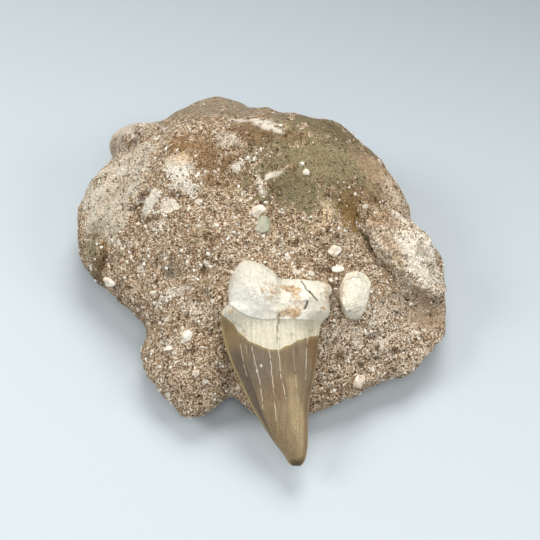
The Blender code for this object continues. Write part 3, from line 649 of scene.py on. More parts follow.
def top_height(x, y):
    """Height of the rock above the plan.

    A hump with its forms, kept above the rim and rounded down to it by a superellipse of the
    distance from the rock's centre as a share of the rim's radius.
    """
    hump = TOP_HEIGHT + FRONT_SLOPE * y - LENGTHWISE_BEND * y**2 - CROSSWISE_BEND * x**2
    hump -= BACK_BEND * np.maximum(y - CREST_Y, 0.0) ** 2
    hump += forms_height(ROCK_FORMS, x, y)
    from_x, from_y = x - ROCK_CENTRE[0], y - ROCK_CENTRE[1]
    radius, rim_height = rim_at(np.arctan2(from_y, from_x))
    share = np.clip(np.hypot(from_x, from_y) / radius, 0.0, 1.0)
    lift = (1.0 - share**SIDE_ROUNDNESS) ** (1.0 / SIDE_ROUNDNESS)
    rise = hump - rim_height
    return rim_height + 0.5 * (rise + np.hypot(rise, LEAST_RISE)) * lift


def roughened(points):
    """Rock points moved outwards by noise that fades out towards the flat spot."""
    fade = smooth_step(points[:, 2], 0.0, FADE_HEIGHT)
    outward = points - np.array([*ROCK_CENTRE, HEART_HEIGHT])
    outward /= np.maximum(np.linalg.norm(outward, axis=1), 1.0)[:, None]
    return points + outward * (layered_noise(points, ROCK_NOISE) * fade)[:, None]


def square_rings(lines):
    """Ring and turn at each point of a square grid.

    The ring is the larger distance from the middle along either side, from 0 to 1 at the edge,
    and the turn runs evenly along each ring.
    """
    line = np.linspace(-1.0, 1.0, lines)
    along, across = (part.ravel() for part in np.meshgrid(line, line, indexing="ij"))
    wide = np.abs(across) >= np.abs(along)
    share = 0.25 * math.pi * np.where(wide, along, across) / np.where(wide, across, along)
    turn = np.where(wide, share, 0.5 * math.pi - share)
    turn += np.where(np.where(wide, across, along) < 0.0, math.pi, 0.0)
    turn = (turn + math.pi) % math.tau - math.pi
    return np.maximum(np.abs(across), np.abs(along)), turn


def rock_points(ring, turn):
    """Rock surface points for rings about its centre.

    Rings below TOP_RING run over the top to the rim. The rest run round the underside, a
    quarter ellipse, to the outline of the flat spot.
    """
    radius, rim_height = rim_at(turn)
    over = 0.5 * math.pi * np.clip(ring / TOP_RING, 0.0, 1.0) ** (0.5 * SIDE_ROUNDNESS)
    side = 0.5 * math.pi * np.clip((ring - TOP_RING) / (1.0 - TOP_RING), 0.0, 1.0)
    on_top = ring < TOP_RING
    under_share = BASE_SHARE + (1.0 - BASE_SHARE) * np.cos(side)
    share = np.where(on_top, np.sin(over) ** (2.0 / SIDE_ROUNDNESS), under_share)
    x = ROCK_CENTRE[0] + share * radius * np.cos(turn)
    y = ROCK_CENTRE[1] + share * radius * np.sin(turn)
    z = np.where(on_top, top_height(x, y), rim_height * (1.0 - np.sin(side)))
    return roughened(np.stack([x, y, z], axis=1))


def grid_areas(points, rows):
    """Outward vectors of a grid of points, as long as each one's area: the cross product of its ways."""
    grid = points.reshape(rows, -1, 3)
    return np.cross(np.gradient(grid, axis=1), np.gradient(grid, axis=0)).reshape(-1, 3)


def grid_normals(points, rows):
    """Outward unit vectors of a grid of points."""
    areas = grid_areas(points, rows)
    return areas / np.maximum(np.linalg.norm(areas, axis=1), 1e-9)[:, None]


def grid_faces(rows, columns, wrapped=False):
    """Quads between the points of a grid, whose last column joins the first where it is wrapped."""
    index = np.arange(rows * columns).reshape(rows, columns)
    if wrapped:
        index = np.concatenate([index, index[:, :1]], axis=1)
    corners = [index[:-1, :-1], index[:-1, 1:], index[1:, 1:], index[1:, :-1]]
    return np.stack(corners, axis=-1).reshape(-1, 4)


def grid_border(lines):
    """Indices round the edge of a square grid, so that one face closes it from behind."""
    index = np.arange(lines * lines).reshape(lines, lines)
    sides = [index[0, :-1], index[:-1, -1], index[-1, :0:-1], index[:0:-1, 0]]
    return np.concatenate(sides)[::-1]


def tube_faces(rows, around):
    """Faces of a grid that is closed round its rows, with one face over each end."""
    last = (rows - 1) * around
    ends = [list(range(around)), list(range(last + around - 1, last - 1, -1))]
    return grid_faces(rows, around, wrapped=True)[:, ::-1].tolist() + ends


def new_piece(name, points, faces, material, replaced=()):
    """A smooth-shaded piece of these points, in millimetres, that rides on the fossil."""
    mesh = bpy.data.meshes.new(name)
    mesh.from_pydata((points * MM).tolist(), [], faces)
    mesh.shade_smooth()
    mesh.materials.append(material)
    piece = bpy.data.objects.new(name, mesh)
    bpy.context.scene.collection.objects.link(piece)
    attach(piece, BODY)
    if replaced:
        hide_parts(*replaced)
    return piece


def add_colours(piece, name, colours, strength):
    """A colour attribute on the points, with the strength as its fourth value."""
    attribute = piece.data.attributes.new(name, "FLOAT_COLOR", "POINT")
    values = np.concatenate([colours, strength[:, None]], axis=1)
    attribute.data.foreach_set("color", values.astype(np.float32).ravel())


def add_values(piece, name, values):
    """A number attribute on the points."""
    attribute = piece.data.attributes.new(name, "FLOAT", "POINT")
    attribute.data.foreach_set("value", values.astype(np.float32))


def laid_over(colours, strength, shade, cover):
    """The colours and strength after a layer of one shade is laid over them."""
    total = cover + strength * (1.0 - cover)
    kept = (strength * (1.0 - cover) / np.maximum(total, 1e-6))[:, None]
    return colours * kept + linear(shade) * (1.0 - kept), total


def stained(points, stains):
    """Colour, strength and calmness of stains: ragged ovals, each laid over those before it."""
    x, y = points[:, 0], points[:, 1]
    ragged = turned_noise(points, STAIN_NOISE)
    colours, strength, calm = np.zeros_like(points), np.zeros_like(x), np.zeros_like(x)
    for *oval, shade, amount, calmness in stains.values():
        inside = smooth_step(1.0 - oval_radius(x, y, *oval) + ragged, -STAIN_SOFTNESS, STAIN_SOFTNESS)
        colours, strength = laid_over(colours, strength, SHADES[shade], amount * inside)
        calm = np.maximum(calm, calmness * inside)
    return colours, strength, calm


def fine_relief(points, calm):
    """Fine bumps and pits of the rock, lower where it is worn calm and gone at the flat spot."""
    fade = smooth_step(points[:, 2], 0.0, FINE_FADE_HEIGHT)
    bumps = turned_noise(points, FINE_NOISE)
    pits = np.maximum(noise(points, PIT_SEED, PIT_CELL) - PIT_START, 0.0) * PIT_DEPTH
    return (bumps - pits) * (1.0 - CALM_SHARE * calm) * fade


def rock_surface(lines, relief):
    """Points, normals, stains and the painted shade of the hollows of the finished rock surface."""
    base = rock_points(*square_rings(lines))
    colours, strength, calm = stained(base, STAINS)
    fine = relief * fine_relief(base, calm)
    points = base + grid_normals(base, lines) * fine[:, None]
    # Painted shade: the deeper the fine relief sinks, the darker the place is painted
    hollow = smooth_step(-fine, HOLLOW_SHADE_START, HOLLOW_SHADE_FULL)
    return points, grid_normals(points, lines), (colours, strength, calm, hollow)


def tooth_place():
    """The tooth's turn and place as a rotation matrix and a point."""
    slope = math.radians(TOOTH_SLOPE)
    turn = np.array([
        [1.0, 0.0, 0.0],
        [0.0, math.cos(slope), -math.sin(slope)],
        [0.0, math.sin(slope), math.cos(slope)],
    ])
    return turn, np.array(TOOTH_PLACE)


def flat_points(x, y):
    """Points with these two coordinates and a third of nought."""
    return np.stack([x, y, np.zeros_like(x)], axis=1)


def crack_mask(line, x, down, half_width, broken=True):
    """One on a wavering line that runs down the tooth, falling off as a bell to its sides.

    A broken line is nought where a noise along it is low.
    """
    across, along = np.array(line)[np.argsort([down for _, down in line])].T
    course = flat_points(down, np.full_like(down, CRACK_SPACING * across[0]))
    waver = turned_noise(course, CRACK_WAVER) * (1.0 if broken else DARK_CRACK_WAVER)
    middle = line_at(np.stack([along, across], axis=1), down) + waver
    ends = smooth_step(down, along[0] - CRACK_END, along[0])
    ends *= smooth_step(-down, -along[-1] - CRACK_END, -along[-1])
    if broken:
        ends *= smooth_step(noise(course, CRACK_BREAK_SEED, CRACK_BREAK_CELL), *CRACK_BREAKS)
    return np.exp(-(((x - middle) / half_width) ** 2)) * ends


def tooth_zones(x, down):
    """Shares of root, band and crown at each place on the tooth."""
    ragged = turned_noise(flat_points(x, down), ZONE_WAVER)
    root = smooth_step(line_at(ROOT_BORDER, x) - down + ragged, -ZONE_SOFTNESS, ZONE_SOFTNESS)
    crown = smooth_step(down - line_at(CROWN_EDGE, x) + ragged, -ZONE_SOFTNESS, ZONE_SOFTNESS)
    return root, (1.0 - root) * (1.0 - crown), (1.0 - root) * crown


def tooth_rows(count):
    """Distances down the tooth, closest where the right lobe's upper edge is."""
    ends = TOOTH_STATIONS[0][0], TOOTH_STATIONS[-1][0]
    first, last = (LOBE_EDGE[1] + offset for offset in CLOSE_ROWS)
    few = count // 12
    return np.concatenate([
        np.linspace(ends[0], first, few, endpoint=False),
        np.linspace(first, last, 2 * few, endpoint=False),
        np.linspace(last, ends[1], count - 3 * few),
    ])


def tooth_turns(count):
    """Angles round a section, with FRONT_SHARE of them on the front and evenly spaced across it."""
    front = int(FRONT_SHARE * count)
    part = np.concatenate([
        np.linspace(0.0, math.pi, front, endpoint=False),
        np.linspace(math.pi, math.tau, count - front, endpoint=False),
    ])
    return part + TURN_EVENNESS * np.sin(2.0 * part)


def tooth_section(down):
    """Left edge, right edge, thickness above and thickness below at each distance down."""
    stations = np.array(TOOTH_STATIONS)
    return smooth_curve(stations[:, 0], stations[:, 1:], down).T


def rounded(share):
    """A quarter round: nought at the edge, steep at first and level from a share of one inwards."""
    return np.sqrt(1.0 - (1.0 - np.clip(share, 0.0, 1.0)) ** ROOT_POWER)


def tooth_points(down, around):
    """Tooth surface points in its own plane: x across, y up towards the root, z out of the rock.

    A section at each distance down is a closed ring between its left and right edges. The
    crown bulges as one less the squared distance from its middle, so its edges are sharp. The
    root rises from each edge in a rounded quarter.
    """
    left, right, above, below = tooth_section(down)
    crown = smooth_step(down, ROOT_END, CROWN_START)
    across = np.cos(around)
    x = 0.5 * (left + right) + 0.5 * (right - left) * across
    rounding = rounded((x - left) / ROOT_REACH) * rounded((right - x) / ROOT_REACH)
    bulge = rounding + (1.0 - across**2 - rounding) * crown
    edge_x, edge_down, edge_length = LOBE_EDGE
    missing = LOBE_DROP * (1.0 - smooth_step(down, edge_down, edge_down + edge_length))
    above = above + forms_height(ROOT_FORMS, x, down)
    above *= 1.0 - missing * smooth_step(x, edge_x - 1.0, edge_x + 1.0)
    front = np.sin(around) > 0.0
    z = np.where(front, above, -below) * bulge
    z += np.where(front, tooth_relief(x, down), 0.0) * smooth_step(bulge, 0.0, RELIEF_FULL)
    return np.stack([x, -down, z], axis=1)


def tooth_relief(x, down):
    """Fine relief of the tooth's front.

    The root stands over the band in a lip that thins upwards, the crown's enamel stands a
    little proud, the root is softly uneven, and each crack is a groove.
    """
    root, band, crown = tooth_zones(x, down)
    above_border = np.maximum(line_at(ROOT_BORDER, x) - down, 0.0)
    relief = ROOT_LIP * root * np.exp(-above_border / ROOT_LIP_LENGTH) + ENAMEL_STEP * crown
    flat = flat_points(x, down)
    relief += root * layered_noise(flat, ROOT_NOISE)
    relief += (band + CROWN_STREAK_SHARE * crown) * layered_noise(flat * STREAK_STRETCH, STREAK_NOISE)
    for line, strength in PALE_CRACKS.values():
        relief -= PALE_CRACK_DEPTH * strength * crown * crack_mask(line, x, down, PALE_CRACK_WIDTH)
    for line, half_width, depth in DARK_CRACKS.values():
        relief -= depth * crack_mask(line, x, down, half_width, broken=False)
    return relief


def mixed(first, second, share):
    """The first colours with this share of the second laid into them."""
    return first + (np.asarray(second) - first) * share[:, None]


def enamel_colours(x, down, cloud, looks):
    """Crown colours: an upper and a lower shade with tones, a dark strip and line, and pale edges."""
    left, right, _, _ = tooth_section(down)
    colours = mixed(np.array(looks.crown), looks.tip, smooth_step(down + TIP_CLOUD * cloud, *TIP_BLEND))
    for middle, halves, shade, amount in CROWN_TONES.values():
        radius = oval_radius(x, down, *middle, *halves, CROWN_LEAN)
        inside = smooth_step(1.0 - radius + TONE_CLOUD * cloud, *TONE_BLEND)
        colours = mixed(colours, linear(shade), amount * inside)
    inside = line_at(FACET_LINE, down) - x
    facet = smooth_step(inside, *FACET_SIDE) * smooth_step(down, *FACET_TOP)
    facet *= FACET_STRENGTH - FACET_LOSS * smooth_step(inside, *FACET_THIN)
    colours = mixed(colours, looks.facet, facet)
    inset, width, amount = DARK_LINE
    dark_line = amount * np.exp(-(((right - x - inset) / width) ** 2))
    colours = mixed(colours, linear(SHADES["umber"]), dark_line)
    top = np.exp(-((np.maximum(down - line_at(CROWN_EDGE, x), 0.0) / TOP_EDGE_WIDTH) ** 2))
    pale = smooth_step(left - x, *LEFT_EDGE) * (1.0 - LEFT_EDGE_LOSS * smooth_step(down, *LEFT_EDGE_FADE))
    pale = np.maximum(LEFT_EDGE_STRENGTH * pale, RIGHT_EDGE_STRENGTH * smooth_step(x - right, *RIGHT_EDGE))
    return mixed(colours, looks.edge, np.maximum(pale, TOP_EDGE_STRENGTH * top))


def toned(colours, name, at):
    """The colours turned to one of SIDE_TONES as the place goes through that tone's range."""
    shade, reach, amount = SIDE_TONES[name]
    return mixed(colours, linear(shade), amount * smooth_step(at, *reach))


def band_colours(x, looks):
    return toned(toned(np.array(looks.band), "band's right", x), "band's left", -x)


def root_colours(x, down, cloud, looks):
    colours = toned(np.array(looks.root), "root's right", x + cloud)
    from_middle = np.abs(x - ROOT_MIDDLE) / ROOT_MIDDLE_HALF
    colours = toned(colours, "root's middle", 1.0 - from_middle + ROOT_MIDDLE_CLOUD * cloud)
    # Painted shade darkens the root towards its top
    return toned(colours, "root's painted shade at the top", -down)


def rust_strength(x, down):
    """Strength of the rust on the root: the strongest of its ragged ovals at each place."""
    ragged = turned_noise(flat_points(x, down), ROOT_STAIN_NOISE)
    rust = np.zeros_like(x)
    for *oval, amount in ROOT_STAINS.values():
        inside = RUST_REACH - oval_radius(x, down, *oval) + RUST_RAGGED * ragged
        rust = np.maximum(rust, amount * smooth_step(inside, *RUST_BLEND))
    return rust


def cracked(colours, x, down, crown):
    """The colours with the crown's pale cracks and dots and the root's dark cracks drawn over them."""
    for line, strength in PALE_CRACKS.values():
        mask = strength * crown * crack_mask(line, x, down, PALE_CRACK_WIDTH)
        colours = mixed(colours, linear(PALE_CRACK_SHADE), PALE_CRACK_STRENGTH * mask)
    for dot_x, dot_down, size in PALE_DOTS:
        inside = size - np.hypot(x - dot_x, DOT_HEIGHT * (down - dot_down))
        colours = mixed(colours, linear(SHADES["chalk"]), smooth_step(inside, -DOT_EDGE, DOT_EDGE))
    for line, half_width, depth in DARK_CRACKS.values():
        mask = crack_mask(line, x, down, half_width, broken=False)
        colours = mixed(colours, linear(DARK_CRACK_SHADE), min(1.0, DARK_CRACK_STRENGTH * depth) * mask)
    return colours


def tooth_colours(x, down, looks):
    """Colours of the tooth zone by zone, and how dull, streaked and rusty each place is."""
    root, band, crown = (share[:, None] for share in tooth_zones(x, down))
    flat = flat_points(x, down)
    streaks = layered_noise(flat * STREAK_STRETCH, STREAK_NOISE)[:, None] / STREAK_NOISE[0][2]
    cloud = noise(flat, CLOUD_SEED, CLOUD_CELL)
    enamel = enamel_colours(x, down, cloud, looks) * (1.0 + ENAMEL_STREAKS * streaks)
    dentine = band_colours(x, looks) * (1.0 + BAND_STREAKS * streaks)
    colours = root * root_colours(x, down, cloud, looks) + band * dentine + crown * enamel
    root, band, crown = root[:, 0], band[:, 0], crown[:, 0]
    below, width, amount = BORDER_LINE
    shadow = amount * np.exp(-(((down - line_at(ROOT_BORDER, x) - below) / width) ** 2))
    shadow *= (1.0 - crown) * smooth_step(-x, *BORDER_SIDES)
    colours = cracked(mixed(colours, linear(BORDER_SHADE), shadow), x, down, crown)
    rust = rust_strength(x, down) * (1.0 - crown)
    return colours, {"dull": root + band, "streaked": 1.0 - ROOT_STREAK_LOSS * root, "rust": rust}


def chipped(points, seed, nearest):
    """Points of a form about a unit size, cut back to flat facets that face random ways."""
    rng = np.random.default_rng(seed)
    facing = rng.normal(size=(3, FACET_COUNT))
    facing /= np.linalg.norm(facing, axis=0)
    depth = rng.uniform(nearest, FARTHEST_FACET, FACET_COUNT)
    kept = np.min(depth / np.maximum(points @ facing, depth), axis=1)
    return points * kept[:, None]


def pebble_points(name, seed, polar, turn):
    """Surface points of a piece set in the rock, in its own axes.

    A superellipsoid with facets, made uneven by noise. The direction of each point comes from
    its polar angle and its turn.
    """
    _, _, _, halves, _, squareness, unevenness, _ = PEBBLES[name]
    level = np.sin(polar)
    direction = np.stack([level * np.cos(turn), level * np.sin(turn), np.cos(polar)], axis=1)
    length = np.sum(np.abs(direction) ** squareness, axis=1) ** (1.0 / squareness)
    points = direction / length[:, None]
    points = chipped(points, seed, SOFT_FACETS.get(name, NEAREST_FACET)) * np.array(halves)
    depth = unevenness * noise(points, seed, PEBBLE_CELL_SHARE * max(halves))
    return points + direction * depth[:, None], direction


def ground_at(x, y):
    """Height of the roughened rock surface above one place of the plan."""
    x, y = np.array([x]), np.array([y])
    return roughened(np.stack([x, y, top_height(x, y)], axis=1))[0, 2]


def resting_place(x, y, lift, turn):
    """Turn and place of a piece that lies in the rock's surface, with its Z square to the slope."""
    rise_x = ground_at(x + SLOPE_REACH, y) - ground_at(x - SLOPE_REACH, y)
    rise_y = ground_at(x, y + SLOPE_REACH) - ground_at(x, y - SLOPE_REACH)
    out = Vector((-rise_x, -rise_y, 2.0 * SLOPE_REACH)).normalized()
    side = Vector((math.cos(math.radians(turn)), math.sin(math.radians(turn)), 0.0))
    side = (side - out * side.dot(out)).normalized()
    axes = Matrix((side, out.cross(side), out)).transposed()
    return np.array(axes), np.array([x, y, ground_at(x, y) + lift])


def icosahedron():
    """Corners and faces of an icosahedron with a radius of one: triples of corners one edge apart."""
    golden = 0.5 * (1.0 + math.sqrt(5.0))
    corners = np.array([
        np.roll((0.0, one, golden * other), turn)
        for turn in range(3) for one in (-1.0, 1.0) for other in (-1.0, 1.0)
    ])
    triples = np.array(list(itertools.combinations(range(len(corners)), 3)))
    sides = corners[triples] - corners[np.roll(triples, 1, axis=1)]
    faces = triples[(np.abs(np.linalg.norm(sides, axis=2) - 2.0) < 0.01).all(axis=1)]
    inward = np.linalg.det(corners[faces]) < 0.0
    faces[inward] = faces[inward][:, ::-1]
    return corners / np.linalg.norm(corners[0]), faces


def turned_grains(rng, places, normals, sizes, flatness, sunk):
    """Points and faces of grains, each an icosahedron stretched, turned and set into the rock."""
    corners, faces = icosahedron()
    count = len(places)
    halves = sizes[:, None] * np.stack([
        np.ones(count), rng.uniform(*GRAIN_WIDTHS, count), rng.uniform(flatness, 1.0, count)
    ], axis=1)
    uneven = rng.uniform(*GRAIN_UNEVENNESS, (count, len(corners), 1))
    tilted = normals + rng.normal(0.0, GRAIN_TILT, normals.shape)
    out = tilted / np.linalg.norm(tilted, axis=1)[:, None]
    side = np.cross(out, rng.normal(size=(count, 3)))
    side /= np.linalg.norm(side, axis=1)[:, None]
    axes = np.stack([side, np.cross(out, side), out], axis=1)
    points = np.einsum("nvi,nij->nvj", corners * uneven * halves[:, None, :], axes)
    points += (places - normals * (sunk * halves[:, 2])[:, None])[:, None, :]
    starts = np.arange(count)[:, None, None] * len(corners)
    return points.reshape(-1, 3), (faces[None] + starts).reshape(-1, 3)


class Field:
    """One output of a node: a value or a vector over the surface. Sums and products add nodes."""

    def __init__(self, tree, socket):
        self.tree = tree
        self.socket = socket

    def __add__(self, other):
        return self.tree.maths("ADD", self, other)

    def __sub__(self, other):
        return self.tree.maths("SUBTRACT", self, other)

    def __rsub__(self, other):
        return self.tree.maths("SUBTRACT", other, self)

    def __mul__(self, other):
        return self.tree.maths("MULTIPLY", self, other)

    def __rtruediv__(self, other):
        return self.tree.maths("DIVIDE", other, self)

    def stretch(self, low, high, to_low=0.0, to_high=1.0, kind="SMOOTHSTEP"):
        """This value carried from one range to another and kept inside it, with soft ends."""
        inputs = {0: self, 1: low, 2: high, 3: to_low, 4: to_high}
        return self.tree.field("ShaderNodeMapRange", inputs, interpolation_type=kind)

    def ramp(self, low, high, to_low=0.0, to_high=1.0):
        """This value carried straight from one range to another and kept inside it."""
        return self.stretch(low, high, to_low, to_high, "LINEAR")


class Tree:
    """Adds nodes to a material or a node group, and links the fields handed to their inputs."""

    def __init__(self, tree):
        self.tree = tree

    def put(self, value, socket):
        """Links a field to a socket, or sets a plain number or colour on it."""
        if isinstance(value, Field):
            self.tree.links.new(value.socket, socket)
        else:
            socket.default_value = value

    def add(self, kind, inputs, **settings):
        made = self.tree.nodes.new(kind)
        for name, value in settings.items():
            setattr(made, name, value)
        for key, value in inputs.items():
            self.put(value, made.inputs[key])
        return made

    def field(self, kind, inputs, output=0, **settings):
        return Field(self, self.add(kind, inputs, **settings).outputs[output])

    def maths(self, operation, first, second):
        return self.field("ShaderNodeMath", {0: first, 1: second}, operation=operation)

    def vectors(self, operation, first, second):
        return self.field("ShaderNodeVectorMath", {0: first, 1: second}, operation=operation)

    def scaled(self, vector, share):
        return self.field("ShaderNodeVectorMath", {0: vector, "Scale": share}, operation="SCALE")

    def mix(self, share, first, second, blend="MIX"):
        inputs = {0: share, 6: first, 7: second}
        return self.field("ShaderNodeMix", inputs, 2, data_type="RGBA", blend_type=blend)

    def painted(self, colour, share, shade):
        """The colour with this share of a screen shade laid over it."""
        return self.mix(share, colour, opaque(linear(shade)))

    def noise(self, place, size, detail=2.0, roughness=0.5, output="Fac"):
        """Noise whose features have this size in millimetres."""
        inputs = {"Vector": place, "Scale": 1.0 / size, "Detail": detail, "Roughness": roughness}
        return self.field("ShaderNodeTexNoise", inputs, output)

    def cells(self, place, size):
        """Voronoi cells of this size: the distance from their middles and two random values of each."""
        made = self.add("ShaderNodeTexVoronoi", {"Vector": place, "Scale": 1.0 / size})
        distance, colour = (Field(self, made.outputs[name]) for name in ("Distance", "Color"))
        parts = self.add("ShaderNodeSeparateColor", {0: colour}).outputs
        return distance, Field(self, parts[0]), Field(self, parts[1])

    def bent(self, place, size, detail):
        """The place moved by noise of this size, so that cells there lose their straight edges."""
        shift = self.scaled(self.noise(place, size, detail, output="Color"), size)
        return self.vectors("ADD", place, shift)

    def attribute(self, name, output="Fac"):
        return self.field("ShaderNodeAttribute", {}, output, attribute_name=name)

    def millimetres(self):
        """Object coordinates in millimetres."""
        return self.scaled(self.field("ShaderNodeTexCoord", {}, "Object"), 1.0 / MM)

    def group(self, name, **inputs):
        """Outputs of a shared node group placed here, which is built when it is first asked for."""
        group = bpy.data.node_groups.get(name) or GROUPS[name](name)
        made = self.add("ShaderNodeGroup", inputs, node_tree=group)
        return {output.name: Field(self, output) for output in made.outputs}

    def crumbs(self, place, size, share):
        return self.group("Crumbs", Place=place, Size=size, Share=share)["Mask"]


def new_group(name, inputs, outputs):
    """A shader node group with named sockets, as its tree, its given fields and its output sockets."""
    group = bpy.data.node_groups.new(name, "ShaderNodeTree")
    for label, kind in inputs.items():
        group.interface.new_socket(label, in_out="INPUT", socket_type="NodeSocket" + kind)
    for label, kind in outputs.items():
        group.interface.new_socket(label, in_out="OUTPUT", socket_type="NodeSocket" + kind)
    tree = Tree(group)
    given = {socket.name: Field(tree, socket) for socket in tree.add("NodeGroupInput", {}).outputs}
    return tree, given, tree.add("NodeGroupOutput", {}).inputs


def sand_group(name):
    """Packed grains of random tone, from Voronoi cells whose places are bent by noise.

    Each cell's random value, a finer noise and two coarser ones add up to its tone, which
    picks between the dark, middle and light colours.
    """
    inputs = {"Place": "Vector", "Size": "Float", "Dark": "Color", "Middle": "Color", "Light": "Color"}
    tree, given, put_out = new_group(name, inputs, {"Color": "Color", "Tone": "Float", "Height": "Float"})
    place, size = given["Place"], given["Size"]
    distance, pick, _ = tree.cells(tree.bent(place, size, 1.0), size)
    fine = tree.noise(place, size * 0.8, 1.0)
    clump = tree.noise(place, size * 4.0)
    slow = tree.noise(place, size * 16.0)
    tone = (pick * 0.7 + fine * 2.0 + clump * 0.35 + slow * 0.3).ramp(1.26, 2.12)
    darker = tree.mix(tone.ramp(0.0, 0.5), given["Dark"], given["Middle"])
    tree.put(tree.mix(tone.ramp(0.5, 1.0), darker, given["Light"]), put_out["Color"])
    tree.put(tone, put_out["Tone"])
    tree.put(fine * 2.0 - distance, put_out["Height"])
    return tree.tree


def crumb_group(name):
    """Scattered crumbs: a share of Voronoi cells, cut to a rounded blob inside each cell."""
    inputs = {"Place": "Vector", "Size": "Float", "Share": "Float"}
    tree, given, put_out = new_group(name, inputs, {"Mask": "Float"})
    distance, pick, _ = tree.cells(tree.bent(given["Place"], given["Size"], 2.0), given["Size"])
    chosen = tree.maths("LESS_THAN", pick, given["Share"])
    tree.put(chosen * distance.stretch(0.5, 0.36), put_out["Mask"])
    return tree.tree


def streak_group(name):
    """Fine lengthwise streaks: noise stretched along one axis after its place is turned."""
    inputs = {"Place": "Vector", "Slope": "Float", "Size": "Float", "Stretch": "Float"}
    tree, given, put_out = new_group(name, inputs, {"Streak": "Float"})
    turn = {"Vector": given["Place"], "Angle": given["Slope"]}
    turned = tree.field("ShaderNodeVectorRotate", turn, rotation_type="X_AXIS")
    stretch = tree.field("ShaderNodeCombineXYZ", {0: 1.0, 1: given["Stretch"], 2: 1.0})
    place = tree.vectors("MULTIPLY", turned, stretch)
    tree.put(tree.noise(place, given["Size"], 3.0), put_out["Streak"])
    return tree.tree


GROUPS = {"Sand grains": sand_group, "Crumbs": crumb_group, "Streaks": streak_group}


def opaque(colour):
    return (*colour, 1.0)


def new_material(name):
    """A material, its tree, its Principled shader's inputs and its place in millimetres."""
    material = bpy.data.materials.new(name)
    material.use_nodes = True
    tree = Tree(material.node_tree)
    shader = material.node_tree.nodes["Principled BSDF"].inputs
    return material, tree, shader, tree.millimetres()


def finish_surface(tree, shader, colour, roughness, specular, height=None, depth=0.0):
    """Puts a colour, a roughness and a gloss on the shader, and a bump of this depth in millimetres."""
    tree.put(colour, shader["Base Color"])
    tree.put(roughness, shader["Roughness"])
    tree.put(specular, shader["Specular IOR Level"])
    if height is not None:
        bump = tree.field("ShaderNodeBump", {"Height": height, "Distance": depth * MM, "Strength": 1.0})
        tree.put(bump, shader["Normal"])


def with_stains(tree, place, colour, tone, calm):
    """Lays the mesh's stains over sand.

    A stain's edge is ragged, and it keeps to the darker grains first. It swings with the
    grains' tone, less where it is calm, and with slow blotches.
    """
    edge = tree.noise(place, 1.5, 6.0, 0.72).stretch(0.32, 0.68) + tone.ramp(0.0, 1.0, 0.42, -0.2)
    cover = (tree.attribute("tint", "Alpha") * 2.2 - edge).stretch(0.25, 0.85) * 0.92
    swing = (tone.ramp(0.0, 1.0, 0.35, 1.6) - 1.0) * calm.stretch(0.0, 1.0, 1.05, 0.25)
    blotch = (tree.noise(place, 1.5, 5.0, 0.65) - 0.5) * 0.7
    return tree.mix(cover, colour, tree.scaled(tree.attribute("tint", "Color"), swing + 1.0 + blotch))


def sandy_material(name, grain, specks, dark, middle, light):
    """Packed sand with pale crumbs, dark pits, holes and hollows that are painted shade, stained, and
    calmer where it is worn.
    """
    material, tree, shader, place = new_material(name)
    shades = {"Dark": opaque(dark), "Middle": opaque(middle), "Light": opaque(light)}
    sand = tree.group("Sand grains", Place=place, Size=grain / MM, **shades)
    calm = tree.attribute("calm")
    rough = 1.0 - calm
    crumb = tree.maths("MAXIMUM", tree.crumbs(place, *COARSE_CRUMBS), tree.crumbs(place, *SMALL_CRUMBS))
    crumb = crumb * rough.stretch(0.1, 0.7, 0.0, 0.9)
    colour = tree.painted(sand["Color"], crumb, CRUMB_SHADE)
    colour = with_stains(tree, place, colour, sand["Tone"], calm)
    # Painted shade: dark specks, pits and holes darkened as the voids between grains; the holes also sink
    # in the bump
    pit = tree.noise(place, 1.3, 3.0).stretch(0.4, 0.3)
    speck_shade = tree.maths("MAXIMUM", tree.crumbs(place, SPECK_SIZE, specks), pit)
    colour = tree.painted(colour, speck_shade * calm.stretch(0.2, 0.9, 0.5, 0.14), SPECK_PAINTED_SHADE)
    hole = tree.crumbs(place, HOLE_SIZE, HOLE_SHARE * specks) * calm.stretch(0.5, 0.9, 0.8, 0.1)
    colour = tree.painted(colour, hole, HOLE_PAINTED_SHADE)
    hue = tree.mix(tree.noise(place, 3.2, 5.0, 0.7).stretch(0.36, 0.64), COOL_HUE, WARM_HUE)
    colour = tree.mix(calm.stretch(0.5, 0.9, 1.0, 0.35), colour, hue, "MULTIPLY")
    # Painted shade: the hollows of the fine relief are darkened towards the dark sand colour
    colour = tree.mix(tree.attribute("hollow") * 0.5, colour, opaque(dark))
    height = (sand["Height"] + crumb * 0.6 - hole) * rough.stretch(0.0, 1.0, 0.35, 1.0)
    finish_surface(tree, shader, colour, 0.95, 0.08, height, 0.22)
    return material


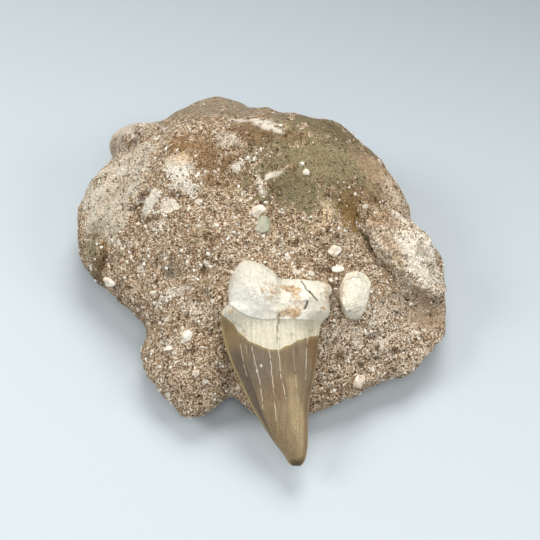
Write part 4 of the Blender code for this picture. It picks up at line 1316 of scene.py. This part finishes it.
def tooth_material():
    """Glossy enamel and dull root, with fine streaks down the tooth, fine grain and speckled rust."""
    material, tree, shader, place = new_material("tooth_enamel")
    axis = {"Slope": -math.radians(TOOTH_SLOPE), "Size": 0.42, "Stretch": 0.08}
    streak = tree.group("Streaks", Place=place, **axis)["Streak"]
    dull, streaked = tree.attribute("dull"), tree.attribute("streaked")
    on_root = 1.0 - streaked
    grain = tree.noise(place, 0.3, 1.0)
    clump = tree.noise(place, 1.0, 4.0, 0.7)
    drawn_out = tree.vectors("MULTIPLY", place, (0.2, 1.0, 1.0))
    wrinkle = (tree.noise(drawn_out, 0.6, 3.0) - 0.5) * on_root
    swing = (streak - 0.5) * (streaked * 0.8) + (grain - 0.5) * dull.stretch(0.0, 1.0, 0.95, 0.6)
    swing = swing + 1.0 + (clump - 0.5) * 0.2 + wrinkle * 0.2
    colour = tree.scaled(tree.attribute("tint", "Color"), swing)
    patchy = tree.noise(place, 1.1, 6.0, 0.75).stretch(0.3, 0.7)
    rust = (tree.attribute("rust") * 1.9 - patchy).stretch(-0.1, 1.1) * 0.85
    deep, bright = (opaque(linear(shade)) for shade in RUST_SHADES)
    colour = tree.mix(rust, colour, tree.mix(clump.stretch(0.4, 0.62), deep, bright))
    bent = tree.vectors("ADD", place, tree.noise(place, 0.8, output="Color"))
    cells = {"Vector": bent, "Scale": CRACKLE_SCALE}
    crackle = tree.field("ShaderNodeTexVoronoi", cells, "Distance", feature="DISTANCE_TO_EDGE")
    crackle = crackle.stretch(0.07, 0.0) * clump.stretch(0.42, 0.6) * on_root
    colour = tree.painted(colour, crackle * 0.34, CRACKLE_SHADE)
    pits = tree.crumbs(place, *ROOT_PITS) * dull
    colour = tree.painted(colour, pits * 0.3, ROOT_PIT_SHADE)
    height = streak * streaked + clump * dull + grain * dull * 0.6 - (pits * 0.8 + rust)
    height = height - crackle + wrinkle
    finish_surface(tree, shader, colour, dull.stretch(0.0, 1.0, 0.42, 0.85), 0.35, height, 0.13)
    return material


def chip_material(name, main, clouded, dark, speck_share, depth):
    """Bone or mineral: a clouded colour with darker specks and a grainy bump."""
    material, tree, shader, place = new_material(name)
    colour = tree.painted(opaque(linear(main)), tree.noise(place, 2.6, 4.0).stretch(0.35, 0.68), clouded)
    specks = tree.crumbs(place, 0.9, speck_share)
    grain = tree.noise(place, 0.45, 3.0)
    colour = tree.painted(colour, specks * 0.7, dark)
    colour = tree.painted(colour, grain.stretch(0.5, 0.75, 0.0, 0.45), dark)
    finish_surface(tree, shader, colour, 0.9, 0.2, grain - specks * 0.6, depth)
    return material


def grain_material():
    """Loose grains, each with its own colour from the mesh, clouded by fine noise."""
    material, tree, shader, place = new_material("loose_grains")
    cloud = tree.noise(place, 0.5)
    colour = tree.scaled(tree.attribute("tint", "Color"), cloud.stretch(0.25, 0.75, 0.75, 1.15))
    finish_surface(tree, shader, colour, 0.85, 0.25, cloud, 0.1)
    return material


def floor_material(looks):
    """Pale matt floor with painted shade that darkens it gently towards the back right, where the light
    falls off.
    """
    material, tree, shader, place = new_material("stage_floor")
    across, back, _ = (Field(tree, part) for part in tree.add("ShaderNodeSeparateXYZ", {0: place}).outputs)
    # Painted shade: the floor darkens towards the back right as falling light would
    share = tree.maths("POWER", (across * 0.3 + back).ramp(*FLOOR_PAINTED_SHADE_RANGE), 2.0)
    colour = tree.mix(share, opaque(looks.floor), opaque(looks.floor_painted_shade))
    finish_surface(tree, shader, colour, 0.9, 0.1)
    return material


def set_piece(name, seed, slot):
    """Points and faces of a piece that is set in the rock, on a grid of polar angles and turns."""
    lines = LARGE_PEBBLE_LINES if name in PEBBLE_STAINS else SMALL_PEBBLE_LINES
    polar = np.linspace(POLE_ANGLE, math.pi - POLE_ANGLE, lines)
    turn = np.linspace(0.0, math.tau, 2 * lines, endpoint=False)
    polar, turn = (part.ravel() for part in np.meshgrid(polar, turn, indexing="ij"))
    points, direction = pebble_points(name, seed, polar, turn)
    fine = FINE_SHARE[slot] * layered_noise(points + seed, PEBBLE_NOISE)
    x, y, lift, _, heading, *_ = PEBBLES[name]
    axes, place = resting_place(x, y, lift, heading)
    return (points + direction * fine[:, None]) @ axes.T + place, tube_faces(lines, 2 * lines)


class FOSSIL_OT_matrix_rock(bpy.types.Operator):
    """Builds the sandy rock, with its stains, from rings about its centre"""

    bl_idname = "fossil.matrix_rock"
    bl_label = "Matrix rock"

    def execute(self, context):
        looks = context.scene.fossil_rock
        points, _, (colours, strength, calm, hollow) = rock_surface(looks.lines, looks.relief)
        faces = grid_faces(looks.lines, looks.lines).tolist() + [grid_border(looks.lines).tolist()]
        shades = looks.dark, looks.middle, looks.light
        material = sandy_material("sandy_matrix", looks.grain, ROCK_SPECKS, *shades)
        rock = new_piece("rock_surface", points, faces, material, ["matrix_rock"])
        add_colours(rock, "tint", colours, strength)
        add_values(rock, "calm", calm)
        # The hollow attribute carries the painted shade of the rock's hollows
        add_values(rock, "hollow", hollow)
        return {"FINISHED"}


class FOSSIL_OT_shark_tooth(bpy.types.Operator):
    """Builds the tooth from closed sections between its root and its tip"""

    bl_idname = "fossil.shark_tooth"
    bl_label = "Shark tooth"

    def execute(self, context):
        looks = context.scene.fossil_tooth
        grid = np.meshgrid(tooth_rows(looks.rows), tooth_turns(looks.segments), indexing="ij")
        flat = tooth_points(*(part.ravel() for part in grid))
        turn, place = tooth_place()
        points, faces = flat @ turn.T + place, tube_faces(looks.rows, looks.segments)
        colours, values = tooth_colours(flat[:, 0], -flat[:, 1], looks)
        material = tooth_material()
        tooth = new_piece("tooth_surface", points, faces, material, ["shark_tooth"])
        add_colours(tooth, "tint", colours, np.ones(len(flat)))
        for name, value in values.items():
            add_values(tooth, name, value)
        return {"FINISHED"}


class FOSSIL_OT_set_pieces(bpy.types.Operator):
    """Builds the root lobe's tip, the chalky lump and the chips that are set in the rock"""

    bl_idname = "fossil.set_pieces"
    bl_label = "Set pieces"

    def execute(self, context):
        materials = {slot: chip_material(slot, *looks) for slot, looks in CHIP_LOOKS.items()}
        for slot, (grain, specks, shades) in SANDY_LOOKS.items():
            materials[slot] = sandy_material(slot, grain * MM, specks, *map(linear, shades))
        for seed, name in enumerate(PEBBLES, start=FIRST_PEBBLE_SEED):
            slot = PEBBLE_SLOTS.get(name, CHIP_SLOT)
            points, faces = set_piece(name, seed, slot)
            piece = new_piece(name + "_surface", points, faces, materials[slot], [name])
            if name in PEBBLE_STAINS:
                colours, strength, calm = stained(points, PEBBLE_STAINS[name])
                add_colours(piece, "tint", colours, strength)
                add_values(piece, "calm", calm)
        return {"FINISHED"}


class FOSSIL_OT_grains(bpy.types.Operator):
    """Scatters pale crumbs and sand grains over the rock, each an icosahedron set into it"""

    bl_idname = "fossil.grains"
    bl_label = "Loose grains"

    def execute(self, context):
        looks, rock = context.scene.fossil_grains, context.scene.fossil_rock
        points, normals, (_, _, calm, _) = rock_surface(rock.lines, rock.relief)
        room = np.linalg.norm(grid_areas(points, rock.lines), axis=1) * (points[:, 2] > GRAIN_LOWEST)
        room *= (BARE_CALM - calm) ** THINNING * (square_rings(rock.lines)[0] < GRAIN_OUTERMOST)
        material = grain_material()
        for seed, (name, grains) in enumerate(GRAINS.items(), start=FIRST_GRAIN_SEED):
            slot, (smallest, largest), flatness, sunk, shades = grains
            count = getattr(looks, name)
            rng = np.random.default_rng(seed)
            chosen = rng.choice(len(points), count, replace=False, p=room / room.sum())
            size = smallest * (largest / smallest) ** (rng.uniform(0.0, 1.0, count) ** THINNING)
            spots, faces = turned_grains(rng, points[chosen], normals[chosen], size, flatness, sunk)
            piece = new_piece(name + "_grains", spots, faces.tolist(), material)
            low, high = map(linear, shades)
            tone = low + (high - low) * rng.uniform(0.0, 1.0, (count, 1))
            add_colours(piece, "tint", np.repeat(tone, len(spots) // count, axis=0), np.ones(len(spots)))
        return {"FINISHED"}


def add_floor(scene, looks):
    """A square floor at the height that the rock rests at."""
    mesh = bpy.data.meshes.new("stage_floor")
    reach = FLOOR_SIZE / 2.0
    corners = [(x * reach, y * reach, 0.0) for x, y in ((-1, -1), (1, -1), (1, 1), (-1, 1))]
    mesh.from_pydata(corners, [], [(0, 1, 2, 3)])
    mesh.materials.append(floor_material(looks))
    floor = bpy.data.objects.new("stage_floor", mesh)
    scene.collection.objects.link(floor)


def add_lights(scene):
    """Four round soft lights that face the fossil, and pale surroundings."""
    for name, (place, size, energy, tint) in LIGHTS.items():
        light = bpy.data.lights.new(name, "AREA")
        light.shape, light.size, light.energy, light.color = "DISK", size, energy, tint
        lamp = bpy.data.objects.new(name, light)
        lamp.location = place
        lamp.rotation_euler = (Vector(AIM) - Vector(place)).to_track_quat("-Z", "Y").to_euler()
        scene.collection.objects.link(lamp)
    world = bpy.data.worlds.new("surroundings")
    world.use_nodes = True
    background = world.node_tree.nodes["Background"].inputs
    background["Color"].default_value = opaque(WORLD_COLOUR)
    background["Strength"].default_value = WORLD_STRENGTH
    scene.world = world
    scene.view_settings.view_transform = "Standard"


def add_camera(scene, looks):
    """A camera in front of the fossil, raised to its elevation."""
    camera = bpy.data.cameras.new("photo_camera")
    camera.lens, camera.clip_start = looks.lens, NEAREST_SEEN
    eye = bpy.data.objects.new("photo_camera", camera)
    back = Vector((0.0, -math.cos(looks.elevation), math.sin(looks.elevation)))
    eye.location = Vector(AIM) + back * looks.distance
    eye.rotation_euler = (0.5 * math.pi - looks.elevation, 0.0, 0.0)
    scene.collection.objects.link(eye)
    scene.camera = eye


class FOSSIL_OT_stage(bpy.types.Operator):
    """Adds the floor, the soft lights, the pale surroundings and the camera"""

    bl_idname = "fossil.stage"
    bl_label = "Stage"

    def execute(self, context):
        looks = context.scene.fossil_stage
        add_floor(context.scene, looks)
        add_lights(context.scene)
        add_camera(context.scene, looks)
        return {"FINISHED"}


class FOSSIL_PT_panel(bpy.types.Panel):
    """Lists the fossil's pieces and the sizes and colours that can be changed"""

    bl_idname = "FOSSIL_PT_panel"
    bl_label = "Fossil shark tooth"
    bl_space_type = "VIEW_3D"
    bl_region_type = "UI"
    bl_category = "Fossil"

    def draw(self, context):
        for name, operators in PANEL_ROWS.items():
            box = self.layout.box()
            looks = getattr(context.scene, name)
            for label in looks.__annotations__:
                box.prop(looks, label)
            for operator in operators:
                box.operator(operator.bl_idname)


LOOKS = {
    "fossil_rock": RockLooks,
    "fossil_tooth": ToothLooks,
    "fossil_grains": GrainLooks,
    "fossil_stage": StageLooks,
}
# The operators of each group of looks, as the panel shows them
PANEL_ROWS = {
    "fossil_rock": (FOSSIL_OT_matrix_rock, FOSSIL_OT_set_pieces),
    "fossil_tooth": (FOSSIL_OT_shark_tooth,),
    "fossil_grains": (FOSSIL_OT_grains,),
    "fossil_stage": (FOSSIL_OT_stage,),
}
CLASSES = (*LOOKS.values(), *itertools.chain(*PANEL_ROWS.values()), FOSSIL_PT_panel)


def register():
    for made in CLASSES:
        bpy.utils.register_class(made)
    for name, looks in LOOKS.items():
        setattr(bpy.types.Scene, name, PointerProperty(type=looks))


def unregister():
    for name in LOOKS:
        delattr(bpy.types.Scene, name)
    for made in reversed(CLASSES):
        bpy.utils.unregister_class(made)


def main():
    register()
    bpy.ops.fossil.matrix_rock()
    bpy.ops.fossil.shark_tooth()
    bpy.ops.fossil.set_pieces()
    bpy.ops.fossil.grains()
    bpy.ops.fossil.stage()
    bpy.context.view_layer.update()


if __name__ == "__main__":
    main()
